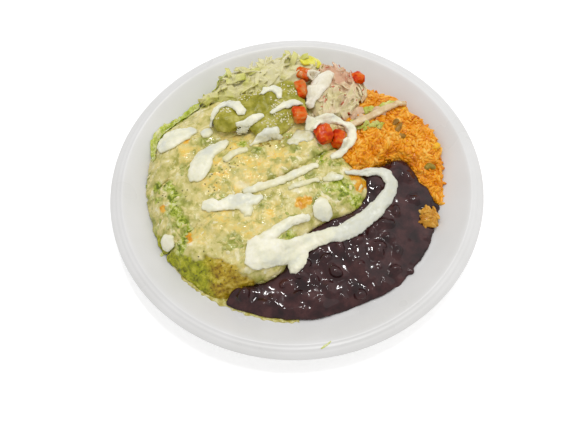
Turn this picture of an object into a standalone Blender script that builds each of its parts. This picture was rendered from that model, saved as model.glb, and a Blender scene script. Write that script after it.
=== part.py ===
"""A plate of enchiladas, as it is served: three rolled tortillas under green sauce and melted
cheese, black beans, tomato rice, guacamole, shredded lettuce, a pale cabbage and onion salad,
diced tomato and poured cream, all on one round white plate.

Metres, +Z up. The origin is under the plate's centre, on the surface that it stands on. The
near side of the plate, where the beans lie, is at -Y. Plan outlines are in millimetres, seen
from above, and each food is fitted to the pieces under and beside it with a small gap.
"""
import math
import random

import bmesh
import bpy
from mathutils import Vector, geometry, noise
from mathutils.bvhtree import BVHTree

MM = 0.001

# Plate: a 12 inch dinner plate of glazed white ceramic.
PLATE_RADIUS = 152.5
WELL_FLOOR = 7.0
WELL_RADIUS = 121.0
RIM_CREST = 25.3
PLATE_SEGMENTS = 44

# Gap between pieces that touch. Raw heaps start at this level, inside the plate, and are cut
# back to the plate's surface.
GAP = 0.32
RAW_BASE = 5.0

# Rows of an even scatter lie this share of a step apart.
ROW_STEP = 0.87

# Faces that meet at less than this angle are merged into one.
FLAT = math.radians(0.5)

# Small things, at true size: length, width and height of a grain and a bean, and the width
# and thickness of a shred.
RICE_GRAIN = (8.0, 3.0, 2.8)
BLACK_BEAN = (11.5, 7.5, 6.0)
LETTUCE_SHRED = (4.2, 1.4)
CABBAGE_SHRED = (3.2, 1.6)

# A shred arches this far out of its heap, and is turned this often to find it a free place.
SHRED_RISE = 3.0
TURNS_TRIED = 8

# Cream lies this far above the facets under it, with a section at every step.
CREAM_LIFT = 0.5
CREAM_REACH = 1.6
CREAM_STEP = 5.5


def linear(code):
    """Turn an sRGB hex colour into linear RGBA."""
    channels = [int(code[i:i + 2], 16) / 255.0 for i in (1, 3, 5)]
    curve = [c / 12.92 if c <= 0.04045 else ((c + 0.055) / 1.055) ** 2.4 for c in channels]
    return (*curve, 1.0)


def make_material(name, colour, roughness):
    material = bpy.data.materials.new(name)
    material.use_nodes = True
    shader = material.node_tree.nodes["Principled BSDF"]
    shader.inputs["Base Color"].default_value = linear(colour)
    shader.inputs["Roughness"].default_value = roughness
    shader.inputs["Metallic"].default_value = 0.0
    return material


def solid(name, points, faces, material):
    """Make an object from points in millimetres, its faces turned outwards."""
    mesh = bpy.data.meshes.new(name)
    mesh.from_pydata([Vector(point) * MM for point in points], [], faces)
    shell = bmesh.new()
    shell.from_mesh(mesh)
    bmesh.ops.recalc_face_normals(shell, faces=shell.faces)
    if shell.calc_volume(signed=True) < 0.0:
        bmesh.ops.reverse_faces(shell, faces=shell.faces)
    shell.to_mesh(mesh)
    shell.free()
    mesh.materials.append(material)
    mesh.shade_smooth()
    thing = bpy.data.objects.new(name, mesh)
    bpy.context.scene.collection.objects.link(thing)
    return thing


def bake(thing):
    """Replace an object's mesh by the mesh that its modifiers give."""
    bpy.context.view_layer.update()
    view = bpy.context.evaluated_depsgraph_get()
    baked = bpy.data.meshes.new_from_object(thing.evaluated_get(view))
    thing.modifiers.clear()
    thing.data = baked


def remove(thing):
    bpy.data.objects.remove(thing, do_unlink=True)


def keep_main_body(thing, merge_flat=True):
    """Drop loose scraps and sealed hollows, which a cut or a union may leave."""
    shell = bmesh.new()
    shell.from_mesh(thing.data)
    if merge_flat:
        bmesh.ops.remove_doubles(shell, verts=shell.verts, dist=0.001 * MM)
        bmesh.ops.dissolve_degenerate(shell, edges=shell.edges, dist=0.001 * MM)
        bmesh.ops.dissolve_limit(shell, angle_limit=FLAT, verts=shell.verts, edges=shell.edges)
    bmesh.ops.triangulate(shell, faces=shell.faces)
    waiting = set(shell.faces)
    bodies = []
    while waiting:
        body = set()
        edge_of_body = [waiting.pop()]
        while edge_of_body:
            face = edge_of_body.pop()
            body.add(face)
            for edge in face.edges:
                for other in edge.link_faces:
                    if other in waiting:
                        waiting.remove(other)
                        edge_of_body.append(other)
        bodies.append(body)
    main = max(bodies, key=lambda body: sum(signed_volume(face) for face in body))
    scraps = [face for face in shell.faces if face not in main]
    bmesh.ops.delete(shell, geom=scraps, context="FACES")
    shell.to_mesh(thing.data)
    shell.free()
    thing.data.shade_smooth()


def signed_volume(face):
    a, b, c = (vert.co for vert in face.verts)
    return a.dot(b.cross(c)) / 6.0


def cutter_from(thing, swell, lift):
    """Make a copy that is swollen all round or lifted, in millimetres, to cut a neighbour with."""
    cutter = thing.copy()
    cutter.data = thing.data.copy()
    cutter.name = thing.name + "_cutter"
    cutter.hide_render = True
    cutter.display_type = "WIRE"
    bpy.context.scene.collection.objects.link(cutter)
    shell = bmesh.new()
    shell.from_mesh(cutter.data)
    shell.normal_update()
    moves = [vert.normal * swell * min(vert.calc_shell_factor(), 2.2) for vert in shell.verts]
    for vert, move in zip(shell.verts, moves):
        vert.co += (move + Vector((0.0, 0.0, lift))) * MM
    shell.to_mesh(cutter.data)
    shell.free()
    return cutter


def box(thing):
    """The lowest and the highest corner of a piece."""
    places = [vert.co for vert in thing.data.vertices]
    low = [min(place[axis] for place in places) for axis in range(3)]
    high = [max(place[axis] for place in places) for axis in range(3)]
    return low, high


def boxes_meet(one, other):
    """Whether two pieces come within a millimetre of each other, box to box."""
    (low_a, high_a), (low_b, high_b) = box(one), box(other)
    return all(
        low_a[axis] < high_b[axis] + MM and low_b[axis] < high_a[axis] + MM for axis in range(3)
    )


def surface_tree(thing):
    points = [vert.co.copy() for vert in thing.data.vertices]
    return BVHTree.FromPolygons(points, [tuple(face.vertices) for face in thing.data.polygons])


def clear_of(thing, served, solver="EXACT"):
    """Cut a piece back so that it lies against the pieces served before, the gap away.

    A thin flap of a neighbour doesn't swell well, so where the surfaces still cross, a plain
    copy of the neighbour cuts again, lifted by the gap.
    """
    for neighbour in [piece for piece in served if boxes_meet(thing, piece)]:
        for swell, lift in ((GAP, 0.0), (0.0, GAP)):
            if lift and not surface_tree(thing).overlap(surface_tree(neighbour)):
                continue
            cutter = cutter_from(neighbour, swell, lift)
            cut = thing.modifiers.new("Clear", "BOOLEAN")
            cut.operation = "DIFFERENCE"
            cut.solver = solver
            cut.use_self = True
            cut.object = cutter
            bake(thing)
            remove(cutter)
            keep_main_body(thing)


def fuse(thing, bits, solver="EXACT"):
    """Join small pieces to a core in one union."""
    group = bpy.data.collections.new(thing.name + "_bits")
    bpy.context.scene.collection.children.link(group)
    for bit in bits:
        group.objects.link(bit)
    join = thing.modifiers.new("Fuse", "BOOLEAN")
    join.operation = "UNION"
    join.solver = solver
    join.use_self = True
    join.operand_type = "COLLECTION"
    join.collection = group
    bake(thing)
    for bit in bits:
        remove(bit)
    bpy.data.collections.remove(group)
    keep_main_body(thing, merge_flat=False)


def curve_through(points, spacing, closed):
    """Points along a smooth curve through the given ones; a point given twice is a corner."""
    count = len(points)
    spans = count if closed else count - 1
    result = []
    for i in range(spans):
        if closed:
            four = [points[(i + k) % count] for k in (-1, 0, 1, 2)]
        else:
            four = [points[min(max(i + k, 0), count - 1)] for k in (-1, 0, 1, 2)]
        length = math.dist(four[1][:2], four[2][:2])
        if length < 0.01:
            continue
        steps = max(1, round(length / spacing))
        for step in range(steps):
            t = step / steps
            result.append(tuple(catmull_rom(values, t) for values in zip(*four)))
    if not closed:
        result.append(tuple(points[-1]))
    return result


def catmull_rom(values, t):
    a, b, c, d = values
    slope = (c - a) * t
    bend = (2.0 * a - 5.0 * b + 4.0 * c - d) * t * t
    twist = (3.0 * (b - c) + d - a) * t ** 3
    return 0.5 * (2.0 * b + slope + bend + twist)


def ripple(x, y, z, size, seed):
    """Smooth noise between about -1 and 1, whose lumps are about size millimetres wide."""
    return noise.noise(Vector((x / size + 7.3 * seed, y / size - 3.1 * seed, z / size)))


def blended_height(x, y, heights):
    """Height at a place, blended from a few known heights round it."""
    weights = [1.0 / ((x - hx) ** 2 + (y - hy) ** 2 + 60.0) ** 1.5 for hx, hy, _ in heights]
    total = sum(weight * height[2] for weight, height in zip(weights, heights))
    return total / sum(weights)


def line_distance(x, y, line):
    """How far a place lies from a line through points."""
    nearest = math.inf
    for (ax, ay), (bx, by) in zip(line, line[1:]):
        length = (bx - ax) ** 2 + (by - ay) ** 2
        share = ((x - ax) * (bx - ax) + (y - ay) * (by - ay)) / length
        share = min(1.0, max(0.0, share))
        nearest = min(nearest, math.hypot(x - ax - share * (bx - ax), y - ay - share * (by - ay)))
    return nearest


def inside(x, y, outline):
    """Whether a place lies inside a closed outline."""
    crossings = 0
    for i, (ax, ay) in enumerate(outline):
        bx, by = outline[i - 1]
        if (ay > y) != (by > y) and x < (bx - ax) * (y - ay) / (by - ay) + ax:
            crossings += 1
    return crossings % 2 == 1


def scattered(outline, spacing, seed, jitter=0.3):
    """Places inside an outline at even steps, each shifted by up to a share of a step."""
    draw = random.Random(seed)
    low_x, high_x = min(p[0] for p in outline), max(p[0] for p in outline)
    low_y, high_y = min(p[1] for p in outline), max(p[1] for p in outline)
    rows = int((high_y - low_y) / (ROW_STEP * spacing)) + 1
    columns = int((high_x - low_x) / spacing) + 1
    places = []
    for row in range(rows):
        for column in range(columns):
            shift = spacing * (0.5 * (row % 2) + draw.uniform(-jitter, jitter))
            x = low_x + spacing * column + shift
            y = low_y + spacing * (ROW_STEP * row + draw.uniform(-jitter, jitter))
            if inside(x, y, outline):
                places.append((x, y))
    return places


def mound(name, material, outline, heights, falls, cell, bumps):
    """A heap on an outline, whose top follows known heights and falls off towards some lines.

    falls are lines, each with how far the top falls there and over what width, cell is the size
    of the facets, and bumps are the height, the width and the seed of the heap's unevenness.
    """
    loop = [point[:2] for point in curve_through(outline, cell, closed=True)]
    rim = loop + loop[:1]
    amplitude, size, seed = bumps
    inner = [
        place for place in scattered(loop, cell, seed, 0.12)
        if line_distance(*place, rim) > 0.55 * cell
    ]
    flat = [Vector(place) for place in loop + inner]
    ring = list(range(len(loop)))
    placed, _, triangles, _, _, _ = geometry.delaunay_2d_cdt(flat, [], [ring], 1, 0.001)
    points = []
    for x, y in placed:
        level = blended_height(x, y, heights) + amplitude * ripple(x, y, 0.0, size, seed)
        for line, drop, width in falls:
            level -= drop * max(0.0, 1.0 - line_distance(x, y, line or rim) / width) ** 2
        points.append((x, y, level))
    foot = len(points)
    points += [(x, y, RAW_BASE) for x, y in loop]
    faces = [tuple(triangle) for triangle in triangles]
    faces += [(i, (i + 1) % len(loop), foot + (i + 1) % len(loop), foot + i) for i in ring]
    faces.append(tuple(foot + i for i in ring))
    return solid(name, points, faces, material)


def spindle(name, material, place, angle, tilt, size, sides):
    """A grain or a bean: a closed spindle of few sides, pointing along angle and tilt."""
    length, width, height = size
    along = Vector((math.cos(angle) * math.cos(tilt), math.sin(angle) * math.cos(tilt), math.sin(tilt)))
    across = Vector((-math.sin(angle), math.cos(angle), 0.0))
    up = along.cross(across)
    centre = Vector(place)
    points = [centre - along * length / 2.0]
    for share, fullness in ((-0.26, 0.9), (0.26, 0.9)):
        for k in range(sides):
            turn = math.tau * k / sides
            side = across * math.cos(turn) * width / 2.0 + up * math.sin(turn) * height / 2.0
            points.append(centre + along * length * share + side * fullness)
    points.append(centre + along * length / 2.0)
    end = len(points) - 1
    faces = []
    for k in range(sides):
        after = (k + 1) % sides
        low, high = 1 + k, 1 + sides + k
        faces.append((0, 1 + after, low))
        faces.append((low, 1 + after, 1 + sides + after, high))
        faces.append((end, high, 1 + sides + after))
    return solid(name, points, faces, material)


def strip(name, material, path, width, thickness):
    """A shred: a thin strip along a path of points (x, y, z), tapering at both ends."""
    count = len(path)
    points = []
    for i, place in enumerate(path):
        here = Vector(place)
        ahead = Vector(path[min(i + 1, count - 1)]) - Vector(path[max(i - 1, 0)])
        side = Vector((-ahead.y, ahead.x, 0.0)).normalized()
        up = ahead.cross(side).normalized()
        taper = 0.55 + 0.45 * math.sin(math.pi * i / (count - 1))
        for across, rise in ((-1.0, -1.0), (1.0, -1.0), (1.0, 1.0), (-1.0, 1.0)):
            offset = side * across * width * taper / 2.0 + up * rise * thickness / 2.0
            points.append(here + offset)
    faces = [(0, 1, 2, 3), tuple(4 * (count - 1) + k for k in (3, 2, 1, 0))]
    for i in range(count - 1):
        for k in range(4):
            after = (k + 1) % 4
            faces.append((4 * i + k, 4 * i + 4 + k, 4 * i + 4 + after, 4 * i + after))
    return solid(name, points, faces, material)


def shred_path(x, y, angle, length, core):
    """Points of a shred that arches over a heap, both of its ends sunk in it."""
    path = []
    for step in range(5):
        t = step / 4.0 - 0.5
        curl = 0.1 * length * math.sin(math.tau * t)
        px = x + math.cos(angle) * length * t - math.sin(angle) * curl
        py = y + math.sin(angle) * length * t + math.cos(angle) * curl
        path.append((px, py, core.height(px, py) + SHRED_RISE * (1.0 - 5.2 * t * t)))
    return path


class Ground:
    """The highest surface at a place, over a set of pieces."""

    def __init__(self, pieces):
        self.trees = [surface_tree(piece) for piece in pieces]

    def height(self, x, y):
        start = Vector((x, y, 200.0)) * MM
        hits = [tree.ray_cast(start, Vector((0.0, 0.0, -1.0)))[0] for tree in self.trees]
        return max((hit.z / MM for hit in hits if hit is not None), default=0.0)

    def crest(self, x, y, reach):
        """The highest surface within reach of a place."""
        around = [(math.cos(math.tau * k / 6), math.sin(math.tau * k / 6)) for k in range(6)]
        levels = [self.height(x + dx * reach, y + dy * reach) for dx, dy in around]
        return max(self.height(x, y), *levels)


def bare_spot(x, y, reach, core, others):
    """Whether a core shows all round a place, with nothing else near it."""
    around = [(0.0, 0.0)] + [(math.cos(math.tau * k / 6), math.sin(math.tau * k / 6)) for k in range(6)]
    return all(
        core.height(x + dx * reach, y + dy * reach) > others.crest(x + dx * reach, y + dy * reach, 1.2)
        for dx, dy in around
    )


def ribbon_of_cream(name, material, path, thickness, ground):
    """One poured stroke along points (x, y, half width), draped over what is under it."""
    stations = curve_through(path, CREAM_STEP, closed=False)
    sections = ((-1.0, 0.45), (-0.66, 0.9), (0.0, 1.0), (0.66, 0.9), (1.0, 0.45))
    points = []
    for i, (x, y, half) in enumerate(stations):
        before = stations[max(i - 1, 0)]
        after = stations[min(i + 1, len(stations) - 1)]
        run = math.dist(before[:2], after[:2])
        side_x = -(after[1] - before[1]) / run
        side_y = (after[0] - before[0]) / run
        body = thickness * (0.6 if i in (0, len(stations) - 1) else 1.0)
        places = [(x + side_x * across * half, y + side_y * across * half) for across, _ in sections]
        levels = [ground.crest(px, py, CREAM_REACH) + CREAM_LIFT for px, py in places]
        levels[1] = max(levels[1], 0.66 * levels[0] + 0.34 * levels[2])
        levels[3] = max(levels[3], 0.66 * levels[4] + 0.34 * levels[2])
        for (px, py), level, (_, fullness) in zip(places, levels, sections):
            points.append((px, py, level + body * fullness))
        for k in (4, 2, 0):
            points.append((*places[k], levels[k]))
    ring = len(sections) + 3
    last = ring * (len(stations) - 1)
    faces = [tuple(range(ring)), tuple(last + k for k in reversed(range(ring)))]
    for i in range(len(stations) - 1):
        for k in range(ring):
            after = (k + 1) % ring
            start = ring * i
            faces.append((start + k, start + ring + k, start + ring + after, start + after))
    return solid(name, points, faces, material)


def cream(name, material, strokes, thickness, served):
    """Strokes of cream that run together into one piece, clear of all that carries them."""
    ground = Ground(served)
    ribbons = [
        ribbon_of_cream(f"{name}_{i}", material, stroke, thickness, ground)
        for i, stroke in enumerate(strokes)
    ]
    piece = ribbons[0]
    piece.name = name
    if len(ribbons) > 1:
        fuse(piece, ribbons[1:], "MANIFOLD")
    clear_of(piece, served, "MANIFOLD")
    return piece


def round_plate(material):
    """The plate, turned about its axis: flat well, cove, sloping rim with two ridges, foot ring."""
    profile = (
        (0.0, WELL_FLOOR), (108.0, WELL_FLOOR), (115.0, 8.6), (WELL_RADIUS, 11.4), (127.0, 15.2),
        (142.2, RIM_CREST), (144.0, 24.0), (146.2, 24.2), (150.6, 22.9), (PLATE_RADIUS, 20.6),
        (151.2, 18.2), (134.0, 11.0), (118.0, 4.2), (97.0, 3.0), (96.0, 0.0), (90.0, 0.0),
        (88.5, 2.4), (0.0, 2.4),
    )
    mesh = bpy.data.meshes.new("plate")
    corners = [(radius * MM, 0.0, level * MM) for radius, level in profile]
    mesh.from_pydata(corners, [(i, i + 1) for i in range(len(corners) - 1)], [])
    plate = bpy.data.objects.new("plate", mesh)
    bpy.context.scene.collection.objects.link(plate)
    turn = plate.modifiers.new("Turn", "SCREW")
    turn.angle = math.tau
    turn.steps = PLATE_SEGMENTS
    turn.render_steps = PLATE_SEGMENTS
    turn.use_merge_vertices = True
    turn.merge_threshold = 0.0001
    bake(plate)
    keep_main_body(plate)
    plate.data.materials.append(material)
    plate.data.set_sharp_from_angle(angle=math.radians(45.0))
    return plate


def soft_lumps(name, material, lumps, cell):
    """Spooned lumps that run together: ellipsoids joined by a coarse voxel skin."""
    shell = bmesh.new()
    for x, y, z, rx, ry, rz, turn in lumps:
        made = bmesh.ops.create_icosphere(shell, subdivisions=3, radius=1.0)
        cos, sin = math.cos(math.radians(turn)), math.sin(math.radians(turn))
        for vert in made["verts"]:
            u, v, w = vert.co.x * rx, vert.co.y * ry, vert.co.z * rz
            swell = 1.0 + 0.07 * ripple(x + u, y + v, z + w, 8.0, 5)
            place = (x + (u * cos - v * sin) * swell, y + (u * sin + v * cos) * swell, z + w * swell)
            vert.co = Vector(place) * MM
    mesh = bpy.data.meshes.new(name)
    shell.to_mesh(mesh)
    shell.free()
    mesh.materials.append(material)
    thing = bpy.data.objects.new(name, mesh)
    bpy.context.scene.collection.objects.link(thing)
    skin = thing.modifiers.new("Skin", "REMESH")
    skin.mode = "VOXEL"
    skin.voxel_size = cell * MM
    bake(thing)
    keep_main_body(thing)
    return thing


def tomato_dice(name, material, place, size, turn, lean):
    """A diced piece of tomato: a block with broad rounded edges, one side bulging with flesh."""
    shell = bmesh.new()
    bmesh.ops.create_cube(shell, size=1.0)
    bmesh.ops.bevel(shell, geom=list(shell.edges), offset=0.17, segments=1, affect="EDGES")
    mesh = bpy.data.meshes.new(name)
    for vert in shell.verts:
        bulge = 1.0 + 0.12 * ripple(vert.co.x * 9.0, vert.co.y * 9.0, vert.co.z * 9.0, 8.0, turn)
        vert.co = Vector([part * bulge * side * MM for part, side in zip(vert.co, size)])
    shell.to_mesh(mesh)
    shell.free()
    mesh.materials.append(material)
    mesh.shade_smooth()
    dice = bpy.data.objects.new(name, mesh)
    bpy.context.scene.collection.objects.link(dice)
    dice.location = Vector(place) * MM
    dice.rotation_euler = (math.radians(lean[0]), math.radians(lean[1]), math.radians(turn))
    bpy.context.view_layer.update()
    mesh.transform(dice.matrix_world)
    dice.location = (0.0, 0.0, 0.0)
    dice.rotation_euler = (0.0, 0.0, 0.0)
    return dice


for leftover in list(bpy.data.objects):
    bpy.data.objects.remove(leftover, do_unlink=True)

GLAZE = make_material("white_glazed_ceramic", "#E9E8E7", 0.2)
CHEESE = make_material("melted_cheese_and_green_sauce", "#D9D29A", 0.45)
BEANS = make_material("black_beans", "#3A2A2C", 0.25)
RICE = make_material("tomato_rice", "#E58A26", 0.5)
AVOCADO = make_material("guacamole", "#A3A653", 0.5)
LETTUCE = make_material("lettuce", "#C3C97A", 0.5)
CABBAGE = make_material("cabbage_and_onion", "#D9CDB4", 0.4)
TOMATO = make_material("tomato", "#D23B1C", 0.3)
YELLOW = make_material("yellow_lettuce_heart", "#DDDA3C", 0.5)
CREAM = make_material("poured_cream", "#EDEEDF", 0.35)

served = []


def serve(piece, solver="EXACT"):
    """Put a piece on the plate, cut back to lie against what is there already."""
    clear_of(piece, served, solver)
    served.append(piece)
    return piece


plate = serve(round_plate(GLAZE))

# Three enchiladas, side by side under one blanket of cheese, which leaves shallow furrows
# between them. The middle one is laid first and the others are pressed against it.
well_edge = [
    (-60, -104), (-73, -98), (-87, -88), (-99, -74), (-108, -58), (-116, -40), (-121, -22),
    (-124, -3), (-124, 16), (-122, 34), (-119, 50), (-108, 62), (-94, 74), (-78, 86), (-60, 96),
    (-40, 100),
]
bean_side = [
    (-60, -104), (-50, -94), (-40, -90), (-28, -87), (-13, -79), (-1, -60), (12, -47), (26, -41),
    (38, -37), (50, -30), (57, -19), (57, -8), (51, 2), (43, 12), (42, 26),
]
front_furrow = [(-112, -62), (-78, -42), (-30, -12), (2, 2), (24, 16), (42, 26)]
back_furrow = [(-128, -10), (-100, 5), (-60, 30), (-20, 52), (12, 72)]
roll_heights = [
    (-60, 12, 38), (-25, 2, 38), (5, 12, 38), (-95, 28, 34), (-105, -10, 30), (-55, -38, 35),
    (-15, -38, 33), (30, -14, 33), (-85, -62, 29), (-72, -84, 25), (-112, 40, 32), (-60, 55, 36),
    (0, 45, 37), (-45, 84, 31), (0, 82, 33), (-90, 60, 31),
]
edge_falls = [(well_edge, 18.0, 26.0), (bean_side, 11.0, 15.0)]
middle_falls = [*edge_falls, (front_furrow, 2.0, 9.0), (back_furrow, 2.0, 9.0)]
outer_falls = [*edge_falls, (front_furrow, 5.6, 9.0), (back_furrow, 5.6, 9.0)]
roll_bumps = (1.8, 15.0, 1)
middle_outline = [
    (-110, -61), (-110, -61), (-116, -40), (-121, -22), (-125, -10), (-125, -10), (-100, 5),
    (-60, 30), (-20, 52), (12, 72), (28, 58), (40, 42), (43, 27), (43, 27), (24, 16), (2, 2),
    (-30, -12), (-78, -42),
]
front_outline = [
    *bean_side[1:-1], (42.5, 27), (42.5, 27), (23, 17.5), (1, 3.5), (-31, -10.5), (-80, -38), (-112, -58),
    (-112, -58), (-99, -74), (-87, -88), (-73, -98), (-60, -104), (-60, -104),
]
back_outline = [
    (-126, -12), (-126, -12), (-98, 3), (-58, 28), (-18, 50), (12, 69), (22, 84), (12, 98),
    (-14, 102), *reversed(well_edge[8:]),
]
for roll_name, outline, falls in (
    ("enchilada_middle", middle_outline, middle_falls),
    ("enchilada_front", front_outline, outer_falls),
    ("enchilada_back", back_outline, outer_falls),
):
    serve(mound(roll_name, CHEESE, outline, roll_heights, falls, 9.0, roll_bumps))

# Tomato rice along the right side, its grains raised out of the heap.
rice_outline = [
    (117, -29), (123, -10), (124, 9), (123, 26), (118, 42), (110, 54), (100, 64), (86, 77),
    (76, 87), (62, 90), (48, 82), (36, 60), (30, 30), (40, 4), (56, 0), (70, 8), (84, 14), (92, 12),
    (99, -6), (106, -22),
]
rice_heights = [
    (85, 35, 34), (60, 20, 33), (50, 12, 32), (104, 45, 26), (110, 20, 25), (117, 0, 19), (84, 66, 34),
    (75, 84, 24), (45, 60, 33), (112, -20, 18), (90, 14, 28),
]
rice = serve(mound("rice", RICE, rice_outline, rice_heights, [(None, 6.0, 12.0)], 5.8, (1.5, 8.0, 4)))

# Black beans in a thick pool in front, whole beans standing out of it.
beans_outline = [
    (-60, -103), (-42, -111.5), (-24, -117), (-2, -119.5), (30, -117), (56, -109), (81, -95),
    (98, -76), (109, -55), (115, -40), (113, -22), (103, -8), (96, 5), (92, 17), (83, 12),
    (74, 8), (64, 5), (56, 2), (48, -12), (34, -26), (14, -34), (-4, -42), (-20, -60), (-38, -80),
    (-50, -91),
]
beans_heights = [
    (50, -65, 20), (20, -95, 17), (-20, -98, 15), (40, -112, 13), (85, -85, 14), (108, -45, 14),
    (90, -20, 20), (88, 8, 25), (62, -8, 26), (30, -45, 24), (0, -70, 21), (70, -40, 21),
]
beans = serve(mound("beans", BEANS, beans_outline, beans_heights, [(None, 3.5, 8.0)], 8.0, (1.3, 9.0, 6)))

# Guacamole spooned over the back and middle rolls.
guacamole_lumps = (
    (-52, 50, 41, 16, 14, 8.5, 20), (-36, 54, 40, 15, 13, 8, 0), (-22, 66, 42, 14, 11, 9, 10),
    (-2, 72, 41, 14, 14, 8.5, 30), (-10, 50, 40, 15, 13, 8, -20), (-18, 38, 39, 17, 10, 6.5, 10),
    (5, 56, 40, 10, 12, 7.5, 0), (-38, 68, 38, 13, 9, 6.5, 25),
)
guacamole = serve(soft_lumps("guacamole", AVOCADO, guacamole_lumps, 5.2))

# Shredded lettuce behind the guacamole, down to the plate.
lettuce_outline = [
    (-84, 78), (-72, 92), (-58, 104), (-40, 112), (-18, 118), (2, 119.5), (20, 117), (31, 108),
    (28, 94), (16, 84), (-6, 76), (-34, 70), (-60, 68), (-76, 70),
]
lettuce_heights = [(-70, 80, 33), (-45, 90, 39), (-18, 98, 43), (6, 102, 43), (22, 102, 40)]
lettuce_falls = [(None, 16.0, 14.0)]
lettuce = serve(mound("lettuce", LETTUCE, lettuce_outline, lettuce_heights, lettuce_falls, 7.0,
                      (2.4, 9.0, 8)))

# Pale cabbage and onion salad heaped on the rice and the ends of the rolls.
salad_outline = [
    (27, 108), (42, 106), (56, 98), (66, 86), (66, 70), (56, 56), (42, 42), (27, 38), (13, 44),
    (9, 60), (12, 80), (20, 92),
]
salad_heights = [(36, 62, 47), (45, 82, 47), (26, 92, 45), (20, 60, 45), (40, 48, 43), (58, 74, 42)]
salad_falls = [(None, 16.0, 15.0)]
salad = serve(mound("salad", CABBAGE, salad_outline, salad_heights, salad_falls, 7.0, (2.2, 8.0, 9)))

# Diced tomato on the salad, the guacamole and the rolls: width, depth, height, turn and lean.
tomato_places = [
    (25.5, 29.0, 13.5, 15.0, 12.0, 16, 8, -6), (37.0, 27.5, 10.5, 14.0, 11.0, -8, -5, 7),
    (6.5, 47.0, 11.5, 13.0, 9.5, 14, 4, 6), (9.5, 73.0, 10.0, 15.0, 9.0, 8, 10, -14),
    (12.5, 94.0, 13.0, 10.0, 8.0, -20, 12, 4), (58.0, 86.0, 12.5, 11.0, 8.0, 30, -8, 8),
]
for number, (x, y, width, depth, height, turn, lean_x, lean_y) in enumerate(tomato_places, 1):
    level = Ground(served).height(x, y) + 0.5 * height - 3.0
    serve(tomato_dice(f"tomato_{number}", TOMATO, (x, y, level), (width, depth, height), turn,
                      (lean_x, lean_y)))

# A yellow lettuce heart leaf behind, and a long pale rib lying over the rice.
ground = Ground(served)
yellow_path = [(12, 104), (16, 107), (20, 109), (25, 109), (28, 107)]
rib_path = [(38, 37), (46, 40), (56, 44), (68, 50), (80, 56), (91, 61), (98, 64)]
for leaf_name, material, path, width, thickness in (
    ("yellow_leaf", YELLOW, yellow_path, 11.0, 2.2),
    ("lettuce_rib", CABBAGE, rib_path, 5.5, 2.6),
):
    lying = [(x, y, ground.crest(x, y, 2.0) + 0.6 * thickness) for x, y in path]
    serve(strip(leaf_name, material, lying, width, thickness))

# A spoonful of rice that lies on the beans.
clump_outline = [(97, -32), (104, -30), (111, -35), (113, -43), (108, -50), (99, -50), (95, -42)]
clump_heights = [(104, -40, 21), (108, -46, 19)]
rice_clump = serve(mound("rice_clump", RICE, clump_outline, clump_heights, [(None, 4.0, 6.0)], 4.5,
                         (1.2, 5.0, 11)))

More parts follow.
